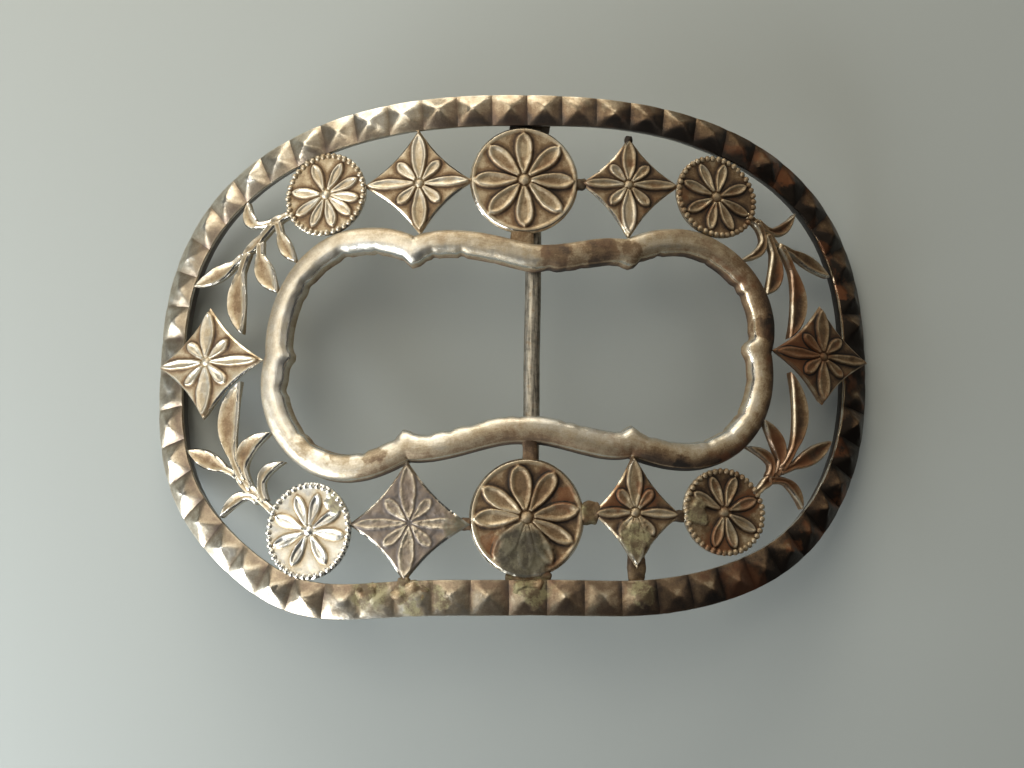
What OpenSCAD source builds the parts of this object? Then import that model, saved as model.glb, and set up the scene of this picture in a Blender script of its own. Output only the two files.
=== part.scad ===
// Arched openwork shoe buckle: a soldered silver frame that stands on its two ends, with a steel bar.
// +X runs along the buckle, +Y points to its upper edge and +Z is up.
// The origin lies on the resting plane, under the middle of the frame. Lengths are in millimetres.

/* [Arch] */
// Length over the two ends
buckle_l = 80; // [78:0.5:82]
// Width over the two long edges
buckle_w = 55; // [54.6:0.2:55.6]
// Radius of the arch, at the upper face of the plates
arch_r = 70; // [66:1:76]
// Height of that face over the resting plane, at the two ends
end_rise = 0.6; // [0.5:0.05:0.7]

/* [Border] */
// Width of the border
border_w = 3.4; // [3.3:0.1:3.6]
// Depth of the border under the feet of its pyramids
border_t = 1.5; // [1.4:0.1:1.7]
// Pyramids in the row
pyramids = 59; // [57:1:61]
// Height of a pyramid
pyramid_h = 0.7; // [0.6:0.05:1]
// Height of the cut-down pyramids under the end diamonds
cut_pyramid_h = 0.3; // [0.2:0.1:0.4]
// Distance of the first pyramid from the right end, along the border
row_start = 0.5; // [0:0.1:1]
// How far the pyramids of the lower edge are moved on along the row
row_drift = 1.7; // [0:0.1:2]
// Squareness of the upper right corner
corner_tr = 2.95; // [2.7:0.05:3.2]
// Squareness of the upper left corner
corner_tl = 2.7; // [2.6:0.05:3]
// Squareness of the lower left corner
corner_bl = 2.85; // [2.7:0.05:3]
// Squareness of the lower right corner
corner_br = 3; // [2.8:0.05:3.2]
// How far the border stands towards the upper edge, out of the frame's middle
border_shift = 0.25; // [0:0.05:0.3]

/* [Rim] */
// Width of the half-round rim round the window
rim_w = 2.9; // [2.7:0.1:3.1]
// Height of the rim's crown over the plates
rim_crown = 0.6; // [0.4:0.1:0.8]
// Depth of the rim under the plates' upper face
rim_t = 1.2; // [1.2:0.05:1.3]

/* [Plates] */
// Thickness of the rosettes, discs, diamonds and leaves
plate_t = 1.1; // [1:0.05:1.15]
// Radius of the two large rosettes
rosette_r = 5.75; // [5.7:0.05:5.9]
// Radius of the four small discs
disc_r = 4.6; // [4.55:0.05:4.7]
// Width of the raised edge of a rosette or disc
edge_w = 0.55; // [0.4:0.05:0.7]
// Height of the raised edge
edge_h = 0.3; // [0.2:0.05:0.4]
// Radius of the boss of a large rosette
boss_r = 0.7; // [0.6:0.05:0.8]
// Height of the end diamonds over the other plates
end_diamond_h = 0.7; // [0.6:0.05:0.8]

/* [Bar] */
// Diameter of the bar
bar_d = 1.7; // [1.5:0.1:1.8]
// Distance of the bar from the middle of the frame
bar_x = 1.1; // [0.9:0.1:1.3]
// Turn of the bar out of the square
bar_turn = -1.4; // [-2:0.1:0]
// Clearance of the bar in its lugs
bar_fit = 0.06; // [0.05:0.01:0.1]
// Gap between the bar and the underside of the border
bar_gap = 0.1; // [0.1:0.05:0.3]
// Width of a lug
lug_w = 4; // [3.6:0.1:4.4]

/* [Hidden] */
$fn = 96;

half_l = buckle_l / 2;
half_w = buckle_w / 2;
// Depth of the arch's axis under the resting plane
axis_depth = sqrt(arch_r * arch_r - half_l * half_l) - end_rise;
// Height of the plates' upper face at the middle
crown_z = arch_r - axis_depth;
silver = "#b3a78f";
steel = "#5b564e";

// Centres of the round plates: place, radius
ROSETTES = [[[0.4, 17.7], rosette_r], [[0.2, -17.7], rosette_r]];
DISCS = [
    [[-20.8, 17.3], disc_r - 0.1],
    [[21.5, 17.2], disc_r],
    [[-21.9, -18.6], disc_r],
    [[20.7, -17], disc_r - 0.1]
];

// Diamonds: middle, then the left, lower, right and upper tips
DIAMONDS = [
    [[-10.7, 17.7], [-16.7, 17.8], [-10.6, 12], [-5, 17.8], [-10.8, 23.8]],
    [[11.6, 17.7], [6, 17.6], [11.4, 11.6], [17.3, 18], [11.8, 23.1]],
    [[-11.5, -18.1], [-17.7, -18.1], [-12, -24], [-5.4, -18.4], [-11.8, -11.8]],
    [[11.2, -17.2], [6.8, -17.3], [11.2, -23], [16, -17.4], [11.2, -11.2]]
];
END_DIAMONDS = [
    [[-33.5, 0], [-39.4, 0.2], [-33.6, -6.3], [-27, -0.5], [-33.3, 6]],
    [[33.1, 0.4], [26.9, 0.5], [32.7, -5], [39.3, 0.5], [33.2, 6.2]]
];

// Stems and leaves of the four sprays: root, middle, tip, width, from upper left round to upper right
LEAVES = [
    [[-24.8, 15.6], [-26, 15.2], [-27.2, 14.6], 1.1],
    [[-26.6, 15], [-29.1, 15.2], [-29.7, 17.7], 1.2],
    [[-26.2, 15], [-25.4, 12.4], [-24, 10.1], 1.2],
    [[-26.6, 14.8], [-28.4, 12.9], [-30.2, 11.5], 1.1],
    [[-30, 11.6], [-32.4, 10.1], [-35.8, 9], 1.7],
    [[-28, 12.8], [-27.6, 9.8], [-25.9, 6.9], 1.9],
    [[-29.4, 11.8], [-30.5, 7.3], [-29.8, 2.8], 2.1],
    [[-25.8, -16.4], [-28.2, -14.2], [-30.2, -12.2], 1.2],
    [[-27.4, -15.4], [-29.4, -14.8], [-31.6, -16.8], 1.3],
    [[-26.6, -15.4], [-26.9, -12.7], [-24.6, -11.4], 1.2],
    [[-28.2, -14], [-29.1, -10.4], [-26.2, -8.2], 1.9],
    [[-29.8, -12.5], [-32.7, -10.9], [-35.7, -9.3], 1.9],
    [[-29, -13.2], [-31, -7.6], [-29.8, -2.4], 2.3],
    [[24.2, -15.2], [25.6, -13.9], [27.4, -12.4], 1.1],
    [[26, -13.6], [28.6, -13.9], [29.9, -16.4], 1.1],
    [[26, -13.2], [26.2, -11.3], [23.6, -10.1], 1.1],
    [[26.8, -13], [27.4, -10.1], [25.6, -7], 1.8],
    [[27.2, -12.6], [30.7, -11], [34, -8.8], 1.8],
    [[27.4, -12.4], [30.1, -7.2], [29.3, -1.6], 1.9],
    [[25, 15.6], [26.6, 14.6], [29, 12.4], 1.1],
    [[26.4, 15.1], [28.8, 14.3], [31.2, 16.8], 1.2],
    [[26, 15.2], [26.8, 12.3], [23.7, 10.2], 1],
    [[27.4, 13.8], [28.3, 9.9], [26.8, 6.8], 1.8],
    [[28.8, 12.6], [31.9, 11.5], [35.2, 10], 1.6],
    [[29, 12.6], [30.9, 7.2], [29.4, 2.2], 2]
];

// Solder stubs between the plates and the rim or border: low corner, high corner
STUBS = [
    [[-0.9, 10.4], [1.2, 12.4]],
    [[-2.4, 22.8], [2.2, 24.8]],
    [[0, -12.6], [1.3, -9.4]],
    [[-1.8, -24.6], [2.4, -22.8]],
    [[5.6, -18.2], [8, -16.2]],
    [[15, -17.9], [17, -17]],
    [[10.4, -24.6], [12.2, -20.6]]
];
// The blob on the broken tip of the upper right diamond: place and radius
BROKEN_TIP = [[11.8, 22.9], 0.32];

// The rim's centre line, counter-clockwise from its right end: start and two handles of each curve
RIM_CURVES = [
    [[25.9, 0.4], [28.4, 6.4], [22.6, 12]],
    [[17.2, 11.9], [15, 11.8], [13, 11.2]],
    [[11.5, 10.3], [7.5, 10.8], [4, 8.6]],
    [[0, 9.7], [-3, 10.5], [-8, 12]],
    [[-11.3, 10.5], [-13, 11.5], [-14.7, 11.9]],
    [[-16.7, 11.9], [-21.9, 12.1], [-26.3, 6.9]],
    [[-25.9, 0], [-27.8, -6.3], [-22.9, -12.3]],
    [[-18, -12.3], [-15.7, -12.3], [-13.7, -11.3]],
    [[-11.9, -10.4], [-8, -11], [-3.5, -8.4]],
    [[0, -8.8], [3.5, -8.4], [8, -11.1]],
    [[11, -10.1], [13, -10.8], [14.8, -11.3]],
    [[16.8, -11.3], [22.5, -11.3], [26.9, -6.2]]
];
rim_steps = 6;

// A plan point put on the arch, and lifted along its normal
function on_arch(p, lift = 0) =
    let (a = asin(p.x / arch_r))
    [(arch_r + lift) * sin(a), p.y, (arch_r + lift) * cos(a) - axis_depth];

// Right-hand normal of a closed plan path at its point i
function out_of(path, i) =
    let (n = len(path), d = path[(i + 1) % n] - path[(i + n - 1) % n])
    [d.y, -d.x] / norm(d);

// The border's centre line: an oval with its own squareness in each corner
function squareness(a) =
    cos(a) < 0 ? (sin(a) < 0 ? corner_bl : corner_tl) : (sin(a) < 0 ? corner_br : corner_tr);
// Where the hand-bent oval swells or falls in: its angle, its spread in degrees and its depth
BULGES = [[228, 13, 1.9], [297, 14, 0.4], [336, 17, -1.8]];
function bulge(a) =
    [for (b = BULGES) b[2] * exp(-pow(((a - b[0] + 540) % 360 - 180) / b[1], 2))] * [for (b = BULGES) 1];
function border_at(a) =
    let (
        n = squareness(a), l = half_l - border_w / 2, w = half_w - border_w / 2,
        away = pow(pow(abs(cos(a)) / l, n) + pow(abs(sin(a)) / w, n), -1 / n) + bulge(a)
    )
    [away * cos(a), away * sin(a) + border_shift];

// Distance run along the border on the arch, against the angle
turn_step = 0.5;
RUNS = [for (a = 0, s = 0; a <= 360;
             s = s + norm(on_arch(border_at(a + turn_step)) - on_arch(border_at(a))),
             a = a + turn_step) [s, a]];
perimeter = RUNS[len(RUNS) - 1][0];

// Stretches of the row, as shares of it, over which the lower edge's pyramids are moved on and back
DRIFT_ON = [0.48, 0.62];
DRIFT_OFF = [0.8, 0.93];

// Smooth step from 0 to 1 between two values
function ease(low, high, u) = let (t = min(max((u - low) / (high - low), 0), 1)) t * t * (3 - 2 * t);

// Place of row position k along the border; whole numbers are peaks and halves are valleys
function run_at(k) =
    let (u = k / pyramids)
    row_start + u * perimeter
    + row_drift * (ease(DRIFT_ON[0], DRIFT_ON[1], u) - ease(DRIFT_OFF[0], DRIFT_OFF[1], u));
function row_point(k) = border_at(lookup((run_at(k) + perimeter) % perimeter, RUNS));

// Height of a pyramid: cut down where an end diamond lies on it, this far to both sides of the middle
diamond_cover = 3.2;
function peak_h(p) = abs(p.y) < diamond_cover && abs(p.x) > half_l / 2 ? cut_pyramid_h : pyramid_h;

module border() {
    peaks = [for (k = [0:pyramids - 1]) row_point(k)];
    valleys = [for (k = [0:pyramids - 1]) row_point(k - 0.5)];
    outs = [for (k = [0:pyramids - 1]) out_of(valleys, k)];
    n = pyramids;
    points = concat(
        [for (k = [0:n - 1]) on_arch(valleys[k] + outs[k] * border_w / 2)],
        [for (k = [0:n - 1]) on_arch(valleys[k] - outs[k] * border_w / 2)],
        [for (k = [0:n - 1]) on_arch(valleys[k] + outs[k] * border_w / 2, -border_t)],
        [for (k = [0:n - 1]) on_arch(valleys[k] - outs[k] * border_w / 2, -border_t)],
        [for (k = [0:n - 1]) on_arch(peaks[k], peak_h(peaks[k]))]
    );
    faces = [for (k = [0:n - 1])
        let (next = (k + 1) % n,
             outer = [k, next], inner = [n + k, n + next],
             outer_foot = [2 * n + k, 2 * n + next], inner_foot = [3 * n + k, 3 * n + next],
             peak = 4 * n + k)
        each [
            [outer[1], outer[0], peak], [inner[0], inner[1], peak],
            [outer[0], inner[0], peak], [inner[1], outer[1], peak],
            [outer[0], outer[1], outer_foot[1]], [outer[0], outer_foot[1], outer_foot[0]],
            [inner[1], inner[0], inner_foot[0]], [inner[1], inner_foot[0], inner_foot[1]],
            [outer_foot[0], outer_foot[1], inner_foot[1]], [outer_foot[0], inner_foot[1], inner_foot[0]]
        ]];
    intersection() {
        polyhedron(points, faces, convexity = 10);
        translate([-buckle_l, -buckle_w, 0]) cube([2 * buckle_l, 2 * buckle_w, 2 * crown_z]);
    }
}

function bezier(a, b, c, d, t) =
    pow(1 - t, 3) * a + 3 * t * pow(1 - t, 2) * b + 3 * t * t * (1 - t) * c + pow(t, 3) * d;

// Half-round section of the rim, from the outer foot over the crown to the inner foot: across, up
RIM_SECTION = [
    [0.47 * rim_w, -rim_t], [0.5 * rim_w, -0.25 * rim_t],
    [0.38 * rim_w, 0.55 * rim_crown], [0.14 * rim_w, rim_crown],
    [-0.14 * rim_w, rim_crown], [-0.38 * rim_w, 0.55 * rim_crown],
    [-0.5 * rim_w, -0.25 * rim_t], [-0.47 * rim_w, -rim_t]
];

module rim() {
    n = len(RIM_CURVES);
    path = [for (i = [0:n - 1], j = [0:rim_steps - 1])
        let (row = RIM_CURVES[i], next = RIM_CURVES[(i + 1) % n])
        bezier(row[0], row[1], row[2], next[0], j / rim_steps)];
    m = len(RIM_SECTION);
    count = len(path);
    points = [for (i = [0:count - 1], q = RIM_SECTION) on_arch(path[i] + out_of(path, i) * q[0], q[1])];
    faces = [for (i = [0:count - 1], j = [0:m - 1])
        let (next = (i + 1) % count, up = (j + 1) % m)
        each [[i * m + j, i * m + up, next * m + up], [i * m + j, next * m + up, next * m + j]]];
    polyhedron(points, faces, convexity = 10);
}

// The space between two faces of the arch
module arch_shell(low, high) {
    translate([0, buckle_w, -axis_depth]) rotate([90, 0, 0]) difference() {
        cylinder(r = arch_r + high, h = 2 * buckle_w);
        translate([0, 0, -1]) cylinder(r = arch_r + low, h = 2 * buckle_w + 2);
    }
}

// A plan outline made into a plate that follows the arch
module arched(low, high) {
    intersection() {
        linear_extrude(2 * crown_z) children();
        arch_shell(low, high);
    }
}

// A point of a diamond's side, drawn in towards its middle
draw_in = 0.5;
function drawn_in(a, b, middle, t) =
    let (side = a + (b - a) * t) side + (middle - side) * draw_in * t * (1 - t);

module diamond(row) {
    sides = 4;
    steps = 4;
    polygon([for (i = [0:sides - 1], j = [0:steps - 1])
        drawn_in(row[1 + i], row[1 + (i + 1) % sides], row[0], j / steps)]);
}

module leaf(root, middle, tip, width) {
    steps = 5;
    handle = 2 * middle - (root + tip) / 2;
    function spine(t) = pow(1 - t, 2) * root + 2 * t * (1 - t) * handle + t * t * tip;
    function side(t) = let (d = spine(t + 0.01) - spine(t - 0.01)) [-d.y, d.x] / norm(d);
    // Half the width, thin at the root, full past the middle and pointed at the tip
    function half(t) = width * (0.24 + 0.26 * sin(180 * pow(t, 1.2)) - 0.14 * t);
    polygon(concat(
        [for (i = [0:steps]) spine(i / steps) + side(i / steps) * half(i / steps)],
        [for (i = [steps:-1:0]) spine(i / steps) - side(i / steps) * half(i / steps)]
    ));
}

module plates() {
    arched(-plate_t, 0) {
        for (r = concat(ROSETTES, DISCS)) translate(r[0]) circle(r[1]);
        for (row = DIAMONDS) diamond(row);
        for (row = LEAVES) leaf(row[0], row[1], row[2], row[3]);
        for (row = STUBS) translate(row[0]) square(row[1] - row[0]);
        translate(BROKEN_TIP[0]) circle(BROKEN_TIP[1]);
    }
}

module end_diamonds() {
    arched(-plate_t, end_diamond_h) for (row = END_DIAMONDS) diamond(row);
}

// Raised edges and bosses of the round plates; the edge stands a little inside the plate's own
edge_inset = 0.05;
module reliefs() {
    arched(-plate_t / 2, edge_h) for (r = concat(ROSETTES, DISCS)) translate(r[0]) difference() {
        circle(r[1] - edge_inset);
        circle(r[1] - edge_w);
    }
    for (r = concat(ROSETTES, DISCS)) {
        a = asin(r[0].x / arch_r);
        translate([0, r[0].y, -axis_depth]) rotate([0, a, 0]) translate([0, 0, arch_r - plate_t / 2])
            cylinder(r = boss_r * r[1] / rosette_r, h = plate_t / 2 + boss_r);
    }
}

bar_z = crown_z - border_t - bar_gap - bar_d / 2;
// Place of the bar's upper end, which is blind, and of the lugs' faces
bar_top = border_shift + half_w - border_w / 2 + 0.4;
lug_out = half_w - 0.3;
lug_in = half_w - border_w + 0.2;
// Wall of a lug under the bar, and how far a lug is sunk into the border
lug_wall = 0.9;
lug_sink = 0.5;
// Space between the bar's upper end and the bottom of its hole, and how far its lower end is set back
end_gap = 0.1;

// The bar, or with a clearance the hole that it needs
module bar_shape(from_y, to_y, clearance) {
    translate([bar_x, 0, bar_z]) rotate([0, 0, bar_turn]) translate([0, to_y, 0]) rotate([90, 0, 0])
        cylinder(r = bar_d / 2 + clearance, h = to_y - from_y);
}

// Two blocks under the border that hold the ends of the bar
module lugs() {
    base = bar_z - bar_d / 2 - lug_wall;
    top = crown_z - border_t + lug_sink;
    difference() {
        for (s = [-1, 1])
            translate([
                bar_x - s * tan(bar_turn) * lug_out - lug_w / 2,
                border_shift + (s > 0 ? lug_in : -lug_out),
                base
            ])
            cube([lug_w, lug_out - lug_in, top - base]);
        bar_shape(-half_w - 1, bar_top + end_gap, bar_fit);
    }
}

module frame() {
    color(silver) union() {
        border();
        rim();
        plates();
        end_diamonds();
        reliefs();
        lugs();
    }
}

module bar() {
    color(steel) bar_shape(border_shift - lug_out + end_gap, bar_top, 0);
}

frame();
bar();
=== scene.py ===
# %% [markdown]
# # An arched shoe buckle in soldered silver
# The real buckle is jewellery work. A faceted border and a half-round rim are bent to the foot's arch,
# and small flowers, diamonds and leafy sprays are soldered between them. A steel bar crosses the window.
# The packed CAD model fixes the size and the place of everything. This script makes the finished surfaces
# around it: every ornament is chased here as a fine mesh, and then tarnished by its material.

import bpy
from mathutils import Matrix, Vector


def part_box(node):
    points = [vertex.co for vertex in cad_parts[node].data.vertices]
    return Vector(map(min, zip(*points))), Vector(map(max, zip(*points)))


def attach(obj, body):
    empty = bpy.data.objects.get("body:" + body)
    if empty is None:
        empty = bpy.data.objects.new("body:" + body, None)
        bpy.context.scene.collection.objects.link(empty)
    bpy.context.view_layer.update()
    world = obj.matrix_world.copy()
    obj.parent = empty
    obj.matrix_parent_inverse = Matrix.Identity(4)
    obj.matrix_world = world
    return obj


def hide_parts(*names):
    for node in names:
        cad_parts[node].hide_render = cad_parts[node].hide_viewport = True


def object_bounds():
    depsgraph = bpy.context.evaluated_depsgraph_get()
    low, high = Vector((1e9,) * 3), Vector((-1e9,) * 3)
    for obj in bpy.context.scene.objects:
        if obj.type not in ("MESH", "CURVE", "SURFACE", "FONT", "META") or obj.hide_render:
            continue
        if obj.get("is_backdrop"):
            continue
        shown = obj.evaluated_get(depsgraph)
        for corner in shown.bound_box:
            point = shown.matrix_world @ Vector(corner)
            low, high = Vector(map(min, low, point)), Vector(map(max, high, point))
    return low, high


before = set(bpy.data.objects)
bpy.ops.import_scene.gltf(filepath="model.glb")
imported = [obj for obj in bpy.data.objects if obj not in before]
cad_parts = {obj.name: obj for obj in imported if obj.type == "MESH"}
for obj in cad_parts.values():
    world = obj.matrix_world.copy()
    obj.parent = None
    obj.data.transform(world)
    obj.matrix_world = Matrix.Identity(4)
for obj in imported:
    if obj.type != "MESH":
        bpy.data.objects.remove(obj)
cad_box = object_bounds()
print("nodes", sorted(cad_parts))

# %% [markdown]
# ## Tools and units
# Blender counts in metres and a jeweller in millimetres. All sizes of the buckle are millimetres, and a mesh
# is scaled once, when its piece is finished. The noise that makes things uneven gets a fixed seed, because
# it would start from the clock otherwise, and the buckle has to come out the same each time.

# %% Tools and units
import math
from types import SimpleNamespace

import bmesh
import bpy
import numpy as np
from mathutils import Matrix, Vector, noise

MM = 0.001
NOISE_SEED = 11
noise.seed_set(NOISE_SEED)
scene = bpy.context.scene
low, high = (np.array(corner) / MM for corner in cad_box)
length, width, height = high - low
print(f"the CAD box is {length:.1f} x {width:.1f} x {height:.1f} mm")

# %% [markdown]
# ## The arch
# The buckle is bent like a piece of a tube whose axis lies under the foot. Each ornament is drawn flat, in
# plan millimetres, and then wrapped on that tube. The tube's radius is the one of the CAD model, and its
# axis goes as far under the floor as the model's length asks for.

# %% Wrap a plan point on the arch
ARCH_R = 70.0
HALF_L = round(length) / 2
END_RISE = 0.6
AXIS_DEPTH = math.sqrt(ARCH_R**2 - HALF_L**2) - END_RISE
CROWN = ARCH_R - AXIS_DEPTH


def on_arch(x, y, lift=0.0):
    """The place of a plan point on the arch, lifted along the arch's normal."""
    reach = ARCH_R + lift
    return Vector((reach * x / ARCH_R, y, reach * math.sqrt(1 - (x / ARCH_R) ** 2) - AXIS_DEPTH))


print(f"the crown of the plates stands at {CROWN:.2f} mm")

# %% [markdown]
# ## A short language for nodes
# A node tree is a drawing of a sum. Here each output socket knows + - * / and powers, so that a sum is
# written as a sum, and the Math nodes appear by themselves. Any other node is added by one method, which
# takes the node's type, then its settings, then what its sockets get. Shader and geometry trees both use it.


# %% Sockets that count
def operator(operation, swapped=False):
    """An operator that adds a Math node. It is swapped when the wire stands on its right."""

    def apply(self, other):
        pair = (other, self) if swapped else (self, other)
        return self.desk.maths(operation, *pair)

    return apply


class Wire:
    """One output of a node."""

    def __init__(self, desk, end):
        self.desk = desk
        self.end = end

    def other(self, name):
        """Another output of the same node."""
        return Wire(self.desk, self.end.node.outputs[name])

    __add__ = __radd__ = operator("ADD")
    __sub__ = operator("SUBTRACT")
    __rsub__ = operator("SUBTRACT", swapped=True)
    __mul__ = __rmul__ = operator("MULTIPLY")
    __truediv__ = operator("DIVIDE")
    __rtruediv__ = operator("DIVIDE", swapped=True)
    __pow__ = operator("POWER")
    __rpow__ = operator("POWER", swapped=True)


# %% A desk that adds nodes
MIDDLE_GREY = (0.5, 0.5, 0.5)


class Desk:
    """A node tree that is filled in by expressions."""

    def __init__(self, tree):
        self.tree = tree

    def add(self, kind, settings=None, sockets=None, out=0):
        """Adds a node, sets its settings, fills its sockets and returns one of its outputs."""
        node = self.tree.nodes.new(kind)
        for name, value in (settings or {}).items():
            if name == "stops":
                self.set_stops(node.color_ramp.elements, value)
            else:
                setattr(node, name, value)
        for name, value in (sockets or {}).items():
            if isinstance(value, Wire):
                self.tree.links.new(value.end, node.inputs[name])
            else:
                node.inputs[name].default_value = value
        return Wire(self, node.outputs[out]) if len(node.outputs) else node

    @staticmethod
    def set_stops(elements, stops):
        while len(elements) < len(stops):
            elements.new(1.0)
        for element, (position, colour) in zip(elements, stops):
            element.position = position
            element.color = (*colour, 1.0)

    def maths(self, operation, *values):
        return self.add("ShaderNodeMath", {"operation": operation}, dict(enumerate(values)))

    def vector(self, operation, *values, out=0):
        return self.add("ShaderNodeVectorMath", {"operation": operation}, dict(enumerate(values)), out)

    def scaled(self, vector, factor):
        return self.add("ShaderNodeVectorMath", {"operation": "SCALE"}, {0: vector, "Scale": factor})

    def parts(self, vector):
        """The three parts of a vector."""
        first = self.add("ShaderNodeSeparateXYZ", {}, {0: vector})
        return first, first.other("Y"), first.other("Z")

    def joined(self, x, y, z):
        return self.add("ShaderNodeCombineXYZ", {}, {0: x, 1: y, 2: z})

    def smooth(self, value, start, end):
        """A smooth step: 0 at the start and 1 at the end."""
        sockets = {0: value, 1: start, 2: end}
        return self.add("ShaderNodeMapRange", {"interpolation_type": "SMOOTHSTEP"}, sockets)

    def given(self, size):
        """1 for a size above nothing, and 0 for no size."""
        return self.smooth(size, 0.0, 0.01)

    def hump(self, distance, reach):
        """1 at no distance and 0 from its reach on."""
        share = self.maths("MINIMUM", distance / reach, 1.0)
        return (1.0 - share * share) ** 1.5

    def noise(self, place, scale, detail=2.0, roughness=0.5, out="Fac"):
        sockets = {"Vector": place, "Scale": scale, "Detail": detail, "Roughness": roughness}
        return self.add("ShaderNodeTexNoise", {}, sockets, out)

    def push(self, place, *kind):
        """A push to any side, by noise of this kind."""
        return self.vector("SUBTRACT", self.noise(place, *kind, out="Color"), MIDDLE_GREY)

    def layer(self, name):
        """In a shader: a number that the mesh carries on its points."""
        return self.add("ShaderNodeAttribute", {"attribute_name": name}, out="Fac")

    def mix(self, factor, a, b):
        """In a shader: a colour between two others."""
        a, b = ((*c, 1.0) if isinstance(c, tuple) else c for c in (a, b))
        return self.add("ShaderNodeMix", {"data_type": "RGBA"}, {0: factor, 6: a, 7: b}, out=2)

    def named(self, name, kind="FLOAT"):
        """In a geometry tree: a value that the mesh carries on its points."""
        return self.add("GeometryNodeInputNamedAttribute", {"data_type": kind}, {"Name": name})

    def store(self, geometry, settings=None, **values):
        """In a geometry tree: writes values on the mesh, each under its name."""
        for name, value in values.items():
            sockets = {"Geometry": geometry, "Name": name, "Value": value}
            geometry = self.add("GeometryNodeStoreNamedAttribute", settings, sockets)
        return geometry

    def shape(self, item):
        """In a geometry tree: the mesh of an object."""
        return self.add("GeometryNodeObjectInfo", {}, {"Object": item}, out="Geometry")


def spaced(values):
    """Socket names for keyword names, with a space for each underscore."""
    return {name.replace("_", " "): value for name, value in values.items()}


print("a desk can", [name for name in vars(Desk) if not name.startswith("_")])

# %% [markdown]
# ## Geometry trees with named inputs
# A geometry tree is a small workshop. It takes a blank, works it by named sizes and hands out a mesh. Each
# tree below ends by turning its copies into real mesh and giving them their finish, because only real
# mesh leaves the program. The result is then taken off as a plain mesh, and the modifier goes.

# %% Open, close and run a tree
KINDS = {
    float: "Float",
    int: "Int",
    tuple: "Vector",
    bpy.types.Object: "Object",
    bpy.types.Material: "Material",
}


def open_tree(name, inputs):
    """A new geometry tree with a desk to work at, and a wire for each of its inputs."""
    tree = bpy.data.node_groups.new(name, "GeometryNodeTree")
    tree.interface.new_socket("Geometry", in_out="INPUT", socket_type="NodeSocketGeometry")
    for label, default in inputs.items():
        plain = isinstance(default, type)
        kind = KINDS[default if plain else type(default)]
        item = tree.interface.new_socket(label, in_out="INPUT", socket_type="NodeSocket" + kind)
        if not plain:
            item.default_value = default
    tree.interface.new_socket("Geometry", in_out="OUTPUT", socket_type="NodeSocketGeometry")
    desk = Desk(tree)
    entry = tree.nodes.new("NodeGroupInput")
    return desk, {end.name: Wire(desk, end) for end in entry.outputs if end.name}


def close_tree(desk, geometry, material):
    """Ends a tree: real mesh, its material and the way out."""
    real = desk.add("GeometryNodeRealizeInstances", {}, {0: geometry})
    painted = desk.add("GeometryNodeSetMaterial", {}, {"Geometry": real, "Material": material})
    desk.add("NodeGroupOutput", {}, {0: painted})
    print(f"the tree {desk.tree.name} has {len(desk.tree.nodes)} nodes")
    return desk.tree


def stock(mesh):
    """Puts a mesh in the scene as an object."""
    obj = bpy.data.objects.new(mesh.name, mesh)
    scene.collection.objects.link(obj)
    return obj


def work(tree, blank, readers, values):
    """Runs a tree on a blank and returns the plain mesh. Readers are the meshes that it reads, by input."""
    objects = {label: stock(mesh) for label, mesh in readers.items()}
    inputs = {**objects, **spaced(values)}
    holder = stock(blank)
    modifier = holder.modifiers.new(tree.name, "NODES")
    modifier.node_group = tree
    for item in tree.interface.items_tree:
        if item.in_out == "INPUT" and item.name in inputs:
            modifier[item.identifier] = inputs[item.name]
    result = holder.evaluated_get(bpy.context.evaluated_depsgraph_get())
    mesh = bpy.data.meshes.new_from_object(result)
    holder.modifiers.remove(modifier)
    for obj in (holder, *objects.values()):
        bpy.data.objects.remove(obj)
    return mesh


# %% [markdown]
# ## From points to a finished piece
# A mesh here is a list of points and a list of faces, and most faces lie between rows of points or round a
# hub. A finished piece is one object at the origin, in metres, with its place in its mesh. It rides on the
# buckle's only body, and it takes the finish that it is given. Edges sharper than a given angle stay crisp,
# and the others are shaded softly, as metal that was rubbed for two hundred years.

# %% Points, faces and named numbers
def mesh_of(name, points, faces=(), edges=(), **numbers):
    """A mesh with named numbers on its points, such as crest, and dirt that also paints shade on walls."""
    mesh = bpy.data.meshes.new(name)
    mesh.from_pydata([tuple(p) for p in points], [tuple(e) for e in edges], [tuple(f) for f in faces])
    for label, values in numbers.items():
        carried = mesh.attributes.new(label, "FLOAT", "POINT")
        carried.data.foreach_set("value", np.full(len(points), values, np.float32))
    mesh.update()
    return mesh


def grid_faces(rows, columns, first=0, closed=False, turned=False):
    """The faces between rows of points. A closed row joins its last point to its first."""
    faces = []
    for row in range(rows - 1):
        for i in range(columns if closed else columns - 1):
            a = first + row * columns + i
            b = first + row * columns + (i + 1) % columns
            c, d = b + columns, a + columns
            faces.append((a, d, c, b) if turned else (a, b, c, d))
    return faces


def fan_faces(hub, first, count, turned=False):
    """The triangles between a hub and a closed row of points."""
    pairs = [(first + i, first + (i + 1) % count) for i in range(count)]
    return [(hub, b, a) if turned else (hub, a, b) for a, b in pairs]


def lists_of(shape):
    """The points and the faces of a shape that was worked as a bmesh, which is then let go."""
    shape.verts.index_update()
    points = [v.co.copy() for v in shape.verts]
    faces = [[v.index for v in f.verts] for f in shape.faces]
    shape.free()
    return points, faces


# %% Join, scale and seat a piece
pieces = {}


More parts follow.
